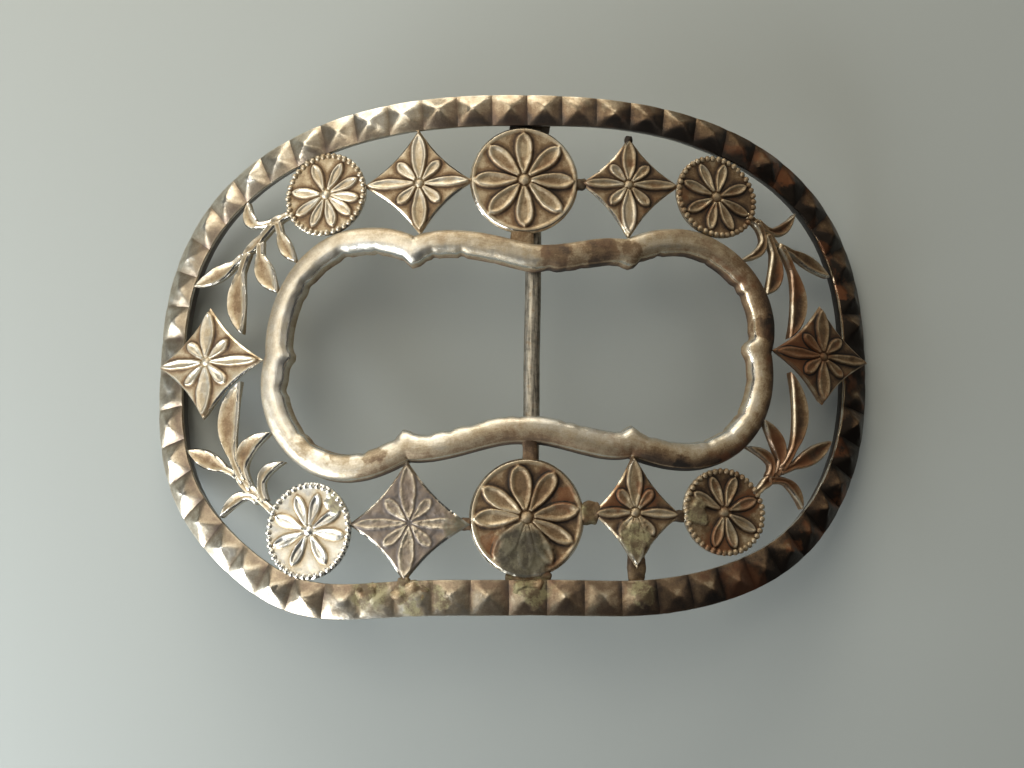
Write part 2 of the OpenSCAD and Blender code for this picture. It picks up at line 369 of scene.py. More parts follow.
def finish_piece(name, meshes, material, sharp=40.0):
    """Joins meshes into one piece that rides on the buckle."""
    objects = [stock(mesh) for mesh in meshes]
    whole = objects[0]
    if len(objects) > 1:
        with bpy.context.temp_override(active_object=whole, selected_editable_objects=objects):
            bpy.ops.object.join()
    mesh = whole.data
    mesh.transform(Matrix.Scale(MM, 4))
    mesh.materials.clear()
    mesh.materials.append(material)
    mesh.polygons.foreach_set("material_index", [0] * len(mesh.polygons))
    mesh.shade_smooth()
    mesh.set_sharp_from_angle(angle=math.radians(sharp))
    whole.name = mesh.name = name
    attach(whole, "root")
    pieces[name] = sum(len(face.vertices) - 2 for face in mesh.polygons)
    print(f"{name}: {pieces[name]} triangles")
    return whole


# %% [markdown]
# ## The camera
# The photograph was taken from above the lower edge, about 135 mm away. The place and the turns of the
# camera were found by matching the flowers, diamonds and edges of the arch to their places in the picture.

# %% Camera
PICTURE_W = 1024
FOCAL_PIXELS = 1200
SENSOR_W = 36
CAMERA_AWAY = 134.74
TILT, PAN, ROLL = -11.85, 2.25, 0.61
AIM = Vector((-0.64, -1.55, END_RISE))


def set_camera():
    turn = (
        Matrix.Rotation(math.radians(ROLL), 3, "Z")
        @ Matrix.Rotation(math.radians(TILT), 3, "X")
        @ Matrix.Rotation(math.radians(PAN), 3, "Y")
    ).transposed()
    data = bpy.data.cameras.new("camera")
    data.lens = FOCAL_PIXELS * SENSOR_W / PICTURE_W
    data.clip_start = 5 * MM
    camera = bpy.data.objects.new("camera", data)
    place = (turn @ Vector((0, 0, CAMERA_AWAY)) + AIM) * MM
    camera.matrix_world = Matrix.Translation(place) @ turn.to_4x4()
    scene.collection.objects.link(camera)
    scene.camera = camera
    print("the camera stands at", [round(c / MM) for c in place], "mm")


set_camera()

# %% [markdown]
# ## Silver that has lain in a drawer
# Old silver takes on a thin film of sulphide. As the film grows thicker its colour goes from clean grey
# through straw, brown and violet to black. So one number, the film, can carry the whole finish. It grows in
# the hollows and it is rubbed off the crests and edges. It is made thicker to the right of this buckle, which
# is partly real tarnish and partly painted shade. There it is thicker still on facets that face down in the
# picture, as painted shade, and thinner on those that face up, as painted light. On the border's inner half
# it is painted thicker as shade. Three numbers that a silver mesh carries on its points steer it: crest, dirt
# and solder, and the dirt also paints shade on walls. The rest is noise on the piece's own place in
# millimetres.
# Crusts of old solder lie over the film, and in some spots the copper in the silver shows red.

# %% Colours of the film and of what lies on it
FILM_COLOURS = [
    (0.00, (0.78, 0.76, 0.71)),
    (0.22, (0.64, 0.58, 0.47)),
    (0.42, (0.47, 0.375, 0.245)),
    (0.60, (0.23, 0.148, 0.078)),
    (0.78, (0.10, 0.062, 0.036)),
    (1.00, (0.022, 0.016, 0.012)),
]
COPPER = (0.22, 0.08, 0.03)
GREY_BLOOM = (0.20, 0.178, 0.165)
KHAKI_CRUST = (0.30, 0.27, 0.14)
BROWN_CRUST = (0.12, 0.085, 0.045)
DARK_CRUST = (0.08, 0.075, 0.045)
SOOT_CRUST = (0.03, 0.03, 0.02)
print("the film has", len(FILM_COLOURS), "colours")

# %% [markdown]
# Each kind of noise is three numbers: how many waves to a millimetre, how many finer layers, and how strong
# those are. A pair of numbers is a range over which something fades in.

# %% Kinds of noise and ranges of the film
CLOUDS = (0.13, 2.0, 0.5)
BLOTCHES = (0.8, 4.0, 0.65)
GRAINS = (6.0, 3.0, 0.7)
LUMPS = (2.2, 3.0, 0.5)
COPPER_CLOUDS = (0.33, 2.0, 0.5)
SPOT_EDGE = (0.5, 3.0, 0.6)
STROKES = (1.0, 4.0, 0.65)
SPOT_WANDER = 5.0
# The film is made thicker towards the buckle's right over this span: partly real tarnish, partly painted
# shade.
DARK_RIGHT_AND_SHADE = (-26.0, 42.0)
SIDE_WANDER = 30.0
# Facets facing this way are painted darker, as shade, and those facing the other way lighter, as painted
# light.
SHADED_FACING = (0.5, -0.86, 0.0)
# Over this reach across the border, its inner half is painted darker, as shade.
INNER_SHADE_REACH = (0.1, 1.3)
POLISHED = (0.95, 1.3)
PATINA = (0.12, 0.7)
STROKE_LONG, STROKE_FINE = 0.7, 6.0
BUMP_DEPTH = 0.08


def open_finish(name):
    """A new material with a desk to work at."""
    material = bpy.data.materials.new(name)
    material.use_nodes = True
    material.node_tree.nodes.clear()
    desk = Desk(material.node_tree)
    return material, desk, desk.scaled(desk.add("ShaderNodeTexCoord", out="Object"), 1 / MM)


def close_finish(desk, relief, strength, depth, **surface):
    """Ends a finish: a bump from its relief and one shader."""
    sockets = {"Strength": strength, "Distance": depth * MM, "Height": relief}
    bump = desk.add("ShaderNodeBump", {}, sockets)
    shader = desk.add("ShaderNodeBsdfPrincipled", {}, {**spaced(surface), "Normal": bump})
    desk.add("ShaderNodeOutputMaterial", {}, {"Surface": shader})


def spots_at(desk, place, spots):
    """A mask of ragged spots, each with its plan place and its reach."""
    x, y, _ = desk.parts(place)
    ragged = (desk.noise(place, *SPOT_EDGE) - 0.5) * SPOT_WANDER
    mask = None
    for spot_x, spot_y, reach in spots:
        away = desk.vector("DISTANCE", desk.joined(x, y, 0.0), (spot_x, spot_y, 0.0), out="Value")
        spot = desk.smooth(away + ragged, reach * 1.2, reach * 0.6)
        mask = desk.maths("MAXIMUM", mask, spot) if mask else spot
    return mask


# %% The silver finish
def silver(
    name, film=0.3, gloss=0.24, dull=0.24, worn=0.16, darker_right_and_shade=0.26, facing_shade=0.0, inner_shade=0.0, matte=0.45,
    grey=0.0, brushed=0.0, crust=(KHAKI_CRUST, BROWN_CRUST), crusts=(), stains=(), rusts=(),
):
    """Silver under a film that is this thick on average. Gloss is the roughness of clean metal."""
    material, desk, place = open_finish(name)
    crest, dirt, solder = (desk.layer(label) for label in ("crest", "dirt", "solder"))
    clouds, blotches, grains = (desk.noise(place, *kind) for kind in (CLOUDS, BLOTCHES, GRAINS))
    # The film is made thicker to the right of the buckle: partly real tarnish, partly painted shade.
    side = desk.smooth(desk.parts(place)[0] + (clouds - 0.5) * SIDE_WANDER, *DARK_RIGHT_AND_SHADE)
    polished = desk.smooth(crest, *POLISHED)
    # How thick the film lies, and how uneven the metal is
    uneven = (clouds - 0.5) * 0.45 + (blotches - 0.5) * 0.55 + (grains - 0.5) * 0.30
    thick = side * darker_right_and_shade + uneven + dirt * 0.40 - crest * worn - polished * 0.2 + film
    relief = blotches * 0.7 + grains * 0.24 + desk.noise(place, *LUMPS) * 0.6
    # On the right, facets that face down and right are painted darker, as shade, and those that face up and
    # left lighter, as painted light.
    if facing_shade:
        normal = desk.add("ShaderNodeNewGeometry", out="Normal")
        thick = thick + desk.vector("DOT_PRODUCT", normal, SHADED_FACING, out="Value") * side * facing_shade
    # The border's inner half is painted darker, as shade.
    if inner_shade:
        thick = thick + desk.smooth(desk.layer("across"), *INNER_SHADE_REACH) * inner_shade
    if brushed:
        lane = desk.joined(desk.layer("run") * STROKE_LONG, desk.layer("across") * STROKE_FINE, 0.0)
        strokes = desk.noise(lane, *STROKES)
        relief = relief + strokes * brushed
        thick = thick + (strokes - 0.5) * brushed * 0.4
    if stains:
        thick = thick + spots_at(desk, place, stains) * 0.26
    # The colour of the film, then copper, bloom and crusts over it
    ground = desk.add("ShaderNodeValToRGB", {"stops": FILM_COLOURS}, {0: thick}, out="Color")
    ruddy = desk.smooth(desk.noise(place, *COPPER_CLOUDS), 0.52, 0.68)
    ruddy = ruddy * side * desk.smooth(blotches, 0.35, 0.6)
    if rusts:
        ruddy = desk.maths("MAXIMUM", ruddy, spots_at(desk, place, rusts))
    ground = desk.mix(ruddy * desk.smooth(dirt, 1.1, 0.8) * 0.6, ground, COPPER)
    if grey:
        ground = desk.mix((1.0 - side) * desk.smooth(thick, 0.1, 0.5) * grey, ground, GREY_BLOOM)
    if crusts:
        solder = desk.maths("MAXIMUM", solder, spots_at(desk, place, crusts))
    caked = desk.mix(desk.smooth(blotches + (grains - 0.5) * 0.4, 0.38, 0.60), *crust)
    ground = desk.mix(solder * 0.88, ground, caked)
    # Film and crust make the metal duller
    patina = desk.smooth(thick, *PATINA)
    rough = gloss + grains * 0.10 + patina * dull + solder * 0.12 - polished * 0.2
    metal = (1.0 - patina * matte) * (1.0 - solder * 0.75)
    close_finish(desk, relief, 0.5, BUMP_DEPTH, Base_Color=ground, Metallic=metal, Roughness=rough)
    return material


# %% [markdown]
# One law gives nine finishes. The short lists place what the photograph shows in single spots: each row is
# a spot's plan x, its plan y and its reach.

# %% Spots and finishes
BORDER_CRUSTS = [
    (-15.4, -24.6, 2.4), (-11.2, -24.9, 1.9), (-8.4, -25.6, 1.1), (0.6, -24.6, 1.6), (11.3, -25.2, 1.3),
]
BORDER_RUSTS = [
    (22.5, -24.2, 2.2), (34.5, 13, 1.2), (36.5, 9, 1.2), (30, 21, 1.2), (28.5, -20, 1.0),
]
PLATE_RUSTS = [(19.8, -20.2, 1.5), (23.4, -15.8, 1.3), (12.6, -15.4, 1.2), (9.4, -15.8, 1.0)]
RIGHT_RUSTS = [(30, 0.4, 3.4), (28, -11.5, 3.6), (30, 9, 2.2)]
SOOTY_RUSTS = [(4.2, -15.4, 1.5), (-3.6, -20.4, 1.2)]
RIM_RUSTS = [(21.5, -12.2, 1.3)]
RIM_STAINS = [
    (3.5, 9.2, 2.2), (8.5, 10.3, 2.0), (12, 10.2, 1.4), (26.5, 3, 1.4), (16.6, -12.9, 1.4),
    (-22.6, -9.8, 1.3), (-19, -11.2, 1.2), (-15.4, -11.2, 1.1),
]
plate_silver = silver(
    "chased_silver", film=0.31, gloss=0.33, worn=0.06, darker_right_and_shade=0.22, rusts=PLATE_RUSTS
)
ruddy_silver = silver(
    "ruddy_silver", film=0.46, gloss=0.42, worn=0.06, darker_right_and_shade=0.14, rusts=RIGHT_RUSTS
)
bright_silver = silver("bright_silver", film=-0.02, darker_right_and_shade=0.24)
bloom_silver = silver(
    "bloom_silver", film=0.42, worn=0.24, darker_right_and_shade=0.24, grey=0.7, crust=(DARK_CRUST, BROWN_CRUST)
)
sooty_silver = silver(
    "sooty_silver", film=0.38, gloss=0.30, worn=0.06, darker_right_and_shade=0.2, crust=(DARK_CRUST, SOOT_CRUST),
    rusts=SOOTY_RUSTS
)
border_silver = silver(
    "border_silver", film=0.28, dull=0.08, worn=0.20, darker_right_and_shade=0.60, facing_shade=0.9, inner_shade=0.2, matte=0.12,
    grey=0.5, crusts=BORDER_CRUSTS, rusts=BORDER_RUSTS
)
rim_silver = silver(
    "rim_silver", film=0.36, brushed=0.6, worn=0.22, gloss=0.34, darker_right_and_shade=0.34, facing_shade=0.45, grey=0.2,
    stains=RIM_STAINS, rusts=RIM_RUSTS
)
solder_silver = silver("solder_silver", film=0.4, gloss=0.3)
hidden_silver = silver("lug_silver", film=0.6, gloss=0.4)
print("finishes", [m.name for m in bpy.data.materials if "silver" in m.name])

# %% [markdown]
# ## A row bent along a path
# The border is a row of small pyramids, the rim is a half-round wire, and the small discs have a ring of
# beads. All three are one idea: a short unit, repeated along a line and bent to a path on the arch. In
# metal it is a rolled strip that is bent and soldered shut. Here it is one geometry tree. It sets the
# units in a straight row, gives each some chance of its own, and bends the row by sampling the path.

# %% The row tree
ROW_INPUTS = {
    "Unit": bpy.types.Object,
    "Path": bpy.types.Object,
    "Count": 1,
    "Start": 0.0,
    "Drift": 0.0,
    "Corner reach": 0.05,
    "Height chance": 0.0,
    "Lean": 0.0,
    "Unevenness": 0.0,
    "Seed": 1,
    "Material": bpy.types.Material,
}
DRIFT_ON = (0.48, 0.62)
DRIFT_OFF = (0.8, 0.93)
ROW_NOISE = (0.55, 3.0, 0.6)
SEAM = 0.004


def straight_row(desk, given):
    """The units side by side along X, each with three chances of its own."""
    line = desk.add("GeometryNodeMeshLine", {}, {"Count": given["Count"], "Offset": (1, 0, 0)})
    sockets = {"Points": line, "Instance": desk.shape(given["Unit"])}
    row = desk.add("GeometryNodeInstanceOnPoints", {}, sockets)
    kind = {"data_type": "FLOAT_VECTOR"}
    sockets = {0: (-1, -1, -1), 1: (1, 1, 1), "Seed": given["Seed"]}
    chance = desk.add("FunctionNodeRandomValue", kind, sockets)
    row = desk.store(row, {**kind, "domain": "INSTANCE"}, chance=chance)
    return desk.add("GeometryNodeRealizeInstances", {}, {0: row})


def bent_place(desk, given):
    """Where the path takes each point: how far it runs, how far across it lies, and its place."""
    curve = desk.add("GeometryNodeMeshToCurve", {}, {0: desk.shape(given["Path"])})
    x, y, z = desk.parts(desk.add("GeometryNodeInputPosition"))
    lean_x, lean_y, taller = desk.parts(desk.named("chance", "FLOAT_VECTOR"))
    total = desk.add("GeometryNodeCurveLength", {}, {0: curve})
    share = x / given["Count"]
    moved = desk.smooth(share, *DRIFT_ON) - desk.smooth(share, *DRIFT_OFF)
    raised = desk.maths("MAXIMUM", z, 0.0)
    run = given["Start"] + share * total + moved * given["Drift"] + lean_x * raised * given["Lean"]

    def sample(run, value=0.0):
        sockets = {"Curves": curve, "Value": value, "Length": desk.maths("FLOORED_MODULO", run, total)}
        return desk.add("GeometryNodeSampleCurve", {"mode": "LENGTH"}, sockets, out="Position")

    def sampled(name):
        return sample(run, desk.named(name)).other("Value")

    here = sample(run)
    ahead = sample(run + given["Corner reach"])
    behind = sample(run - given["Corner reach"])
    along = desk.vector("NORMALIZE", desk.vector("SUBTRACT", ahead, behind))
    axis = desk.joined(0.0, desk.parts(here)[1], -AXIS_DEPTH)
    up = desk.vector("NORMALIZE", desk.vector("SUBTRACT", here, axis))
    inward = desk.vector("CROSS_PRODUCT", up, along)
    across = y + desk.maths("MAXIMUM", y, 0.0) * sampled("swell") + lean_y * raised * given["Lean"] * 0.4
    tall = z * sampled("rise") * (1.0 + taller * given["Height chance"])
    tall = desk.maths("MINIMUM", z, 0.0) + desk.maths("MAXIMUM", tall, 0.0)
    bent = desk.vector("ADD", desk.scaled(inward, across), desk.scaled(up, tall))
    bent = desk.vector("ADD", here, bent)
    push = desk.scaled(desk.push(bent, *ROW_NOISE), given["Unevenness"] * (0.3 + raised * 2.0))
    bent_x, bent_y, bent_z = desk.parts(desk.vector("ADD", bent, push))
    return run, y, desk.joined(bent_x, bent_y, desk.maths("MAXIMUM", bent_z, 0.0))


def row_tree():
    """Repeats a unit and bends the row along a closed path on the arch. The unit is one long in X."""
    desk, given = open_tree("bent_row", ROW_INPUTS)
    row = straight_row(desk, given)
    run, across, bent = bent_place(desk, given)
    row = desk.store(row, run=run, across=across)
    row = desk.add("GeometryNodeSetPosition", {}, {"Geometry": row, "Position": bent})
    row = desk.add("GeometryNodeMergeByDistance", {}, {"Geometry": row, "Distance": SEAM})
    return close_tree(desk, row, given["Material"])


bent_row = row_tree()


# %% Run the row tree
def loop_of(name, plan, **numbers):
    """A closed path on the arch, from plan points. It swells by nothing and rises fully unless told to."""
    count = len(plan)
    numbers = {"swell": 0.0, "rise": 1.0, **numbers}
    edges = [(i, (i + 1) % count) for i in range(count)]
    return mesh_of(name, [on_arch(x, y) for x, y in plan], edges=edges, **numbers)


def bend_row(unit, path, material, **values):
    """The mesh of a unit repeated along a path."""
    values["Material"] = material
    return work(bent_row, mesh_of("blank", []), {"Unit": unit, "Path": path}, values)


# %% [markdown]
# ## The border
# The border is a flat band whose top is cut into four-faced pyramids. Each pyramid is one unit: rings of
# points from its square foot to its top, with the four ridges as real edges, on a short length of band.
# The foot dips at its corners and the top is rounded, as on metal that was cast and then worn. The crest is
# marked along the ridges and the band's rubbed edge, and dirt is marked in the valleys between pyramids.
# The band's walls and underside get the most dirt, which paints them dark as shade.

# %% One pyramid
BORDER_W = 3.4
BORDER_T = 1.5
PYRAMIDS = 59
PYRAMID_H = 0.7
PYRAMID_RINGS = 7
SIDE_STEPS = 4
RIDGE_POWER = 8.0
TOP_ROUND = 0.12
RIDGE_REACH = 0.22
PEAK_REACH = 0.4
VALLEY_AT = 0.76
VALLEY_DIRT = 0.6
RUBBED_Z = -0.2
# Half of the band's section: its share of the half width, and its share of the thickness
BAND_HALF = [(1, 0), (1.03, -0.13), (0.96, -0.36), (0.72, -0.95), (0.66, -1)]


def facet_height(u, v):
    """Height of the pyramid, 1 at its top and 0 at its foot, at -1 to 1 along and across."""
    q = (abs(u) ** RIDGE_POWER + abs(v) ** RIDGE_POWER) ** (1 / RIDGE_POWER)
    top = math.hypot(1, TOP_ROUND)
    return (top - math.hypot(q, TOP_ROUND)) / (top - TOP_ROUND)


def pyramid_unit():
    """One step of the border, one long in X, with Y inwards."""
    points, crest, dirt = [], [], []

    def put(u, v, z, crest_here, dirt_and_shade_here):
        points.append((u / 2, v * BORDER_W / 2, z))
        crest.append(crest_here)
        dirt.append(dirt_and_shade_here)

    ticks = np.linspace(-1, 1, SIDE_STEPS + 1)
    square = [(t, -1) for t in ticks[:-1]] + [(1, t) for t in ticks[:-1]]
    square += [(-u, -v) for u, v in square]
    shares = [1 - k / PYRAMID_RINGS for k in range(PYRAMID_RINGS)]
    rings = [(u * share, v * share) for share in shares for u, v in square]
    for u, v in [*rings, (0, 0)]:
        ridge = max(0.0, 1 - abs(abs(u) - abs(v)) / RIDGE_REACH) * max(abs(u), abs(v)) ** 0.5
        valley = VALLEY_DIRT * max(0.0, (abs(u) - VALLEY_AT) / (1 - VALLEY_AT))
        peak = max(0.0, 1 - math.hypot(u, v) / PEAK_REACH)
        put(u, v, PYRAMID_H * facet_height(u, v), max(peak, 0.6 * ridge * (1 - valley)), valley)
    count, top = len(square), len(rings)
    faces = grid_faces(PYRAMID_RINGS, count, closed=True) + fan_faces(top, top - count, count)
    wall = [(-v, z) for v, z in BAND_HALF] + [(0, -1)] + BAND_HALF[::-1]
    faces += grid_faces(len(ticks), len(wall), first=len(points))
    for u in ticks:
        for v, z in wall:
            foot = PYRAMID_H * facet_height(u, v) if z == 0 else z * BORDER_T
            rubbed = 1.4 if RUBBED_Z < z < 0 else 1.1 if z == 0 else 0.0
            # Below the rubbed edge the band gets full dirt, which paints its walls and underside dark as
            # shade.
            put(u, v, foot, rubbed, 0.0 if z > RUBBED_Z else 1.4)
    return mesh_of("pyramid", points, faces, crest=crest, dirt=dirt, solder=0.0)


pyramid = pyramid_unit()
print("one pyramid has", len(pyramid.polygons), "faces")

# %% [markdown]
# The border's plan is an oval that is a little squarer in some corners than in others, as the real one is.
# A superellipse with its own power in each quarter gives that with four numbers. It was bent by hand, so a
# short table says at which angle, over how many degrees and how far it swells or falls in. The end
# diamonds lie on the border, so the pyramids under them are filed down, and one stretch below is worn.

# %% The border
CORNER = {(1, 1): 2.95, (-1, 1): 2.7, (-1, -1): 2.85, (1, -1): 3.0}
BULGES = [(228, 13, 1.9), (297, 14, 0.4), (336, 17, -1.8)]
HALF_W = 27.33
BORDER_SHIFT = 0.08
TOP_NARROWER = 0.17
NARROW_X = (2, 10, 17, 24)
DIAMOND_COVER = (3.0, 4.6)
FILED_DOWN = 0.25
WORN = 0.5
WORN_X = -13.0
WORN_REACH = 6.0


def border_at(turn):
    """A plan point of the border's centre line."""
    c, s = math.cos(turn), math.sin(turn)
    power = CORNER[(-1 if c < 0 else 1, -1 if s < 0 else 1)]
    reach_x, reach_y = HALF_L - BORDER_W / 2, HALF_W - BORDER_W / 2
    away = ((abs(c) / reach_x) ** power + (abs(s) / reach_y) ** power) ** (-1 / power)
    for angle, spread, depth in BULGES:
        gap = (math.degrees(turn) - angle + 180) % 360 - 180
        away += depth * math.exp(-((gap / spread) ** 2))
    return away * c, away * s + BORDER_SHIFT


def height_left(x, y):
    """What filing and wear left of the pyramids' height at a plan point, as a share."""
    cover = 1 - np.interp(abs(y), DIAMOND_COVER, (0, 1)) if abs(x) > HALF_L / 2 else 0.0
    wear = WORN * math.exp(-((x - WORN_X) / WORN_REACH) ** 2) * (y < 0)
    return (1 - (1 - FILED_DOWN) * cover) * (1 - wear)


def border():
    plan = [border_at(math.radians(t / 2)) for t in range(720)]
    swell = [-TOP_NARROWER * np.interp(x, NARROW_X, (0, 1, 1, 0)) * (y > 0) for x, y in plan]
    path = loop_of("border_line", plan, rise=[height_left(x, y) for x, y in plan], swell=swell)
    mesh = bend_row(
        pyramid, path, border_silver, Count=PYRAMIDS, Start=0.5, Drift=1.7, Height_chance=0.28, Lean=0.26,
        Unevenness=0.34
    )
    piece = finish_piece("border", [mesh], border_silver, sharp=34)
    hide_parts("frame")


border()

# %% [markdown]
# ## The rim
# A half-round wire runs round the window in six lobes, with a small point at each meeting of two lobes.
# It was filed and brushed along its length, and its inner edge is chipped a little here and there. The wire
# is a thin slice repeated along a path of twelve curves, and the path itself says where the wire swells
# inwards to make a point. A curve's row gives its first point and its two handles.

# %% The rim's path
RIM_W = 2.9
RIM_CROWN = 0.6
RIM_T = 1.2
RIM_CURVES = [
    [(25.9, 0.4), (28.4, 6.4), (22.6, 12)],
    [(17.2, 11.9), (15, 11.8), (13, 11.2)],
    [(11.5, 10.3), (7.5, 10.8), (4, 8.6)],
    [(0, 9.7), (-3, 10.5), (-8, 12)],
    [(-11.3, 10.5), (-13, 11.5), (-14.7, 11.9)],
    [(-16.7, 11.9), (-21.9, 12.1), (-26.3, 6.9)],
    [(-25.9, 0), (-27.8, -6.3), (-22.9, -12.3)],
    [(-18, -12.3), (-15.7, -12.3), (-13.7, -11.3)],
    [(-11.9, -10.4), (-8, -11), (-3.5, -8.4)],
    [(0, -8.8), (3.5, -8.4), (8, -11.1)],
    [(11, -10.1), (13, -10.8), (14.8, -11.3)],
    [(16.8, -11.3), (22.5, -11.3), (26.9, -6.2)],
]
CURVE_STEPS = 36
POINT_OUT = 0.36
POINT_REACH = 0.9
CHIP = 0.4
CHIP_NOISE = 0.9
CHIP_FROM = 0.15


def bezier(a, b, c, d, t):
    return (1 - t) ** 3 * a + 3 * t * (1 - t) ** 2 * b + 3 * t * t * (1 - t) * c + t**3 * d


def rim_path():
    """The rim's closed line. Every other curve starts at one of its six points."""
    rows = np.array(RIM_CURVES, float)
    plan = []
    for (a, b, c), (d, *_) in zip(rows, np.roll(rows, -1, axis=0)):
        plan += [bezier(a, b, c, d, t) for t in np.arange(CURVE_STEPS) / CURVE_STEPS]
    near = [min(np.linalg.norm(p - q) for q in rows[::2, 0]) for p in plan]
    flaws = [noise.noise(Vector((x, y, 0)) * CHIP_NOISE) for x, y in plan]
    chips = [CHIP * max(0.0, flaw - CHIP_FROM) for flaw in flaws]
    swell = [POINT_OUT * max(0.0, 1 - d / POINT_REACH) ** 1.6 - chip for d, chip in zip(near, chips)]
    return loop_of("rim_line", plan, swell=swell)


rim_line = rim_path()
print("the rim's path has", len(rim_line.vertices), "points")

# %% The rim
RIM_SLICES = 430
RIM_TURNS = 19
RIM_EDGES = (3, 15)
RIM_FULL, RIM_FLAT = 0.85, 0.7
EDGE_CREST = 1.35


def rim_slice():
    """One slice of half-round wire, one long in X."""
    half, tall = RIM_W / 2, RIM_T + RIM_CROWN
    turns = np.linspace(0, math.pi, RIM_TURNS)
    ring = [
        (-half * np.sign(c) * abs(c) ** RIM_FULL, tall * s**RIM_FLAT - RIM_T)
        for c, s in zip(np.cos(turns), np.sin(turns))
    ]
    ring.append((0, -RIM_T))
    count = len(ring)
    points = [(x, y, z) for x in (-0.5, 0.5) for y, z in ring]
    pairs = [(i, (i + 1) % count) for i in range(count)]
    faces = [(a + count, b + count, b, a) for a, b in pairs]
    # The wire's inner half gets full crest, which makes it lighter all round: a painted highlight.
    crest = [min(1.0, max(0.0, 0.6 + y / half)) for y, _ in ring]
    for edge in RIM_EDGES:
        crest[edge] = EDGE_CREST
    # The film is made thicker towards the foot of the wire's sides.
    dirt = [max(0.0, -z / RIM_T) for _, z in ring]
    return mesh_of("slice", points, faces, crest=crest * 2, dirt=dirt * 2, solder=0.0)


def rim():
    mesh = bend_row(
        rim_slice(), rim_line, rim_silver, Count=RIM_SLICES, Corner_reach=0.45, Unevenness=0.14
    )
    finish_piece("rim", [mesh], rim_silver, sharp=60)


rim()

# %% [markdown]
# ## Chased relief
# The flowers, diamonds and leaves are thin plates whose pattern was pushed up and chased from the front.
# One law makes them all. Each drawn petal is a flat outline: outside it a steep flank climbs from the
# ground, and inside it a soft hollow sinks again, so that the petal is shaped as a small boat. The ground
# stays low and dirty. The tree measures the distance from each point of a fine blank to the drawing, turns
# it into height, and wraps the blank on the arch. It also writes crest, dirt and solder on the points, for
# the finish. The ground is made darkest along each petal's foot, and the plate's walls get full dirt, which
# paints them dark as shade.

# %% What the relief tree takes
RELIEF_INPUTS = {
    "Drawing": bpy.types.Object,
    "Middle": (0.0, 0.0, 0.0),
    "Boss radius": 0.0,
    "Lip height": 0.0,
    "Lip width": 0.3,
    "Leaf dip": 0.0,
    "Petal height": 0.30,
    "Petal dip": 0.20,
    "Flank": 0.26,
    "Hollow reach": 0.5,
    "Dish": 0.1,
    "Edge round": 0.2,
    "Edge width": 0.24,
    "Hollow dirt": 0.5,
    "Solder place": (0.0, 0.0, 0.0),
    "Solder radius": 0.0,
    "Solder height": 0.35,
    "Wear": 0.0,
    "Shake": 0.12,
    "Lift": 0.0,
    "Material": bpy.types.Material,
}
SHAKE_NOISE = (0.55, 2.0, 0.5)
BLOTCH_NOISE = (0.8, 3.0, 0.5)
BLOB_NOISE = (0.7, 3.0, 0.5)
DENT_NOISE = (1.1, 3.0, 0.5)
DISH_REACH = 2.4
BLOB_WANDER = 2.4
BOSS_POWER, BOSS_TALL = 0.7, 0.62
RIB_IN, RIB_REACH = 0.05, 0.17
CREASE_REACH = 0.14
FOOT_REACH = 0.7
print("the relief tree takes", len(RELIEF_INPUTS), "inputs")


# %% Distances and parts of the relief
def distances(desk, given):
    """How far a point of the blank is from the drawing, the middle and the edge."""
    x, y, z = desk.parts(desk.add("GeometryNodeInputPosition"))
    flat = desk.joined(x, y, 0.0)
    shake = desk.vector("MULTIPLY", desk.push(flat, *SHAKE_NOISE), (2.0, 2.0, 0.0))
    probe = desk.vector("ADD", flat, desk.scaled(shake, given["Shake"]))
    drawing = desk.shape(given["Drawing"])

    def distance(element):
        sockets = {0: drawing, "Sample Position": probe}
        return desk.add("GeometryNodeProximity", {"target_element": element}, sockets, out="Distance")

    outside = distance("FACES")
    within = distance("EDGES") - outside
    away = desk.vector("DISTANCE", flat, given["Middle"], out="Value")
    return SimpleNamespace(
        x=x, y=y, z=z, flat=flat, outside=outside, within=within, away=away, inset=desk.named("inset"),
        upper=desk.named("upper"), blotch=desk.noise(flat, *BLOTCH_NOISE)
    )


def relief_parts(desk, given, at):
    """How much of a petal, hollow, lip, trough, boss and blob of solder there is at a point, from 0 to 1."""
    boss_radius, lip_width, solder_radius = given["Boss radius"], given["Lip width"], given["Solder radius"]
    clear = desk.smooth(at.away, boss_radius * 0.95, boss_radius * 1.25 + 0.01)
    lip = desk.hump(desk.maths("ABSOLUTE", at.inset - lip_width), lip_width)
    ball = desk.maths("MINIMUM", at.away / boss_radius, 1.0)
    spot = desk.vector("DISTANCE", at.flat, given["Solder place"], out="Value")
    spot = spot + (at.blotch - 0.5) * BLOB_WANDER
    return SimpleNamespace(
        clear=clear,
        petal=(1.0 - desk.smooth(at.outside, 0.0, given["Flank"])) * clear,
        hollow=desk.smooth(at.within, 0.05, given["Hollow reach"]) * clear,
        lip=lip * desk.given(given["Lip height"]),
        trough=desk.smooth(at.inset, lip_width, lip_width * 4.0),
        boss=(1.0 - ball * ball) ** BOSS_POWER * desk.given(boss_radius),
        solder=desk.smooth(spot, solder_radius, solder_radius * 0.6) * desk.given(solder_radius),
    )


# %% Height and marks
def relief_height(desk, given, at, part):
    """How high a point stands."""
    raised = part.petal * given["Petal height"] * (0.85 + at.blotch * 0.3)
    raised = raised - part.hollow * given["Petal dip"]
    raised = raised + part.lip * given["Lip height"] - part.trough * given["Leaf dip"]
    edge = 1.0 - desk.maths("MINIMUM", at.inset / given["Edge width"], 1.0)
    raised = raised * (1.0 - given["Wear"]) - edge * given["Edge round"]
    raised = raised + part.boss * given["Boss radius"] * BOSS_TALL
    raised = raised - desk.smooth(at.inset, 0.0, DISH_REACH) * given["Dish"]
    blob = given["Solder height"] * (0.5 + desk.noise(at.flat, *BLOB_NOISE))
    raised = raised * (1.0 - part.solder * 0.85) + part.solder * blob
    dents = (desk.noise(at.flat, *DENT_NOISE) - 0.5) * (0.08 + given["Wear"] * 0.3)
    return at.z + at.upper * (raised + dents) + given["Lift"]


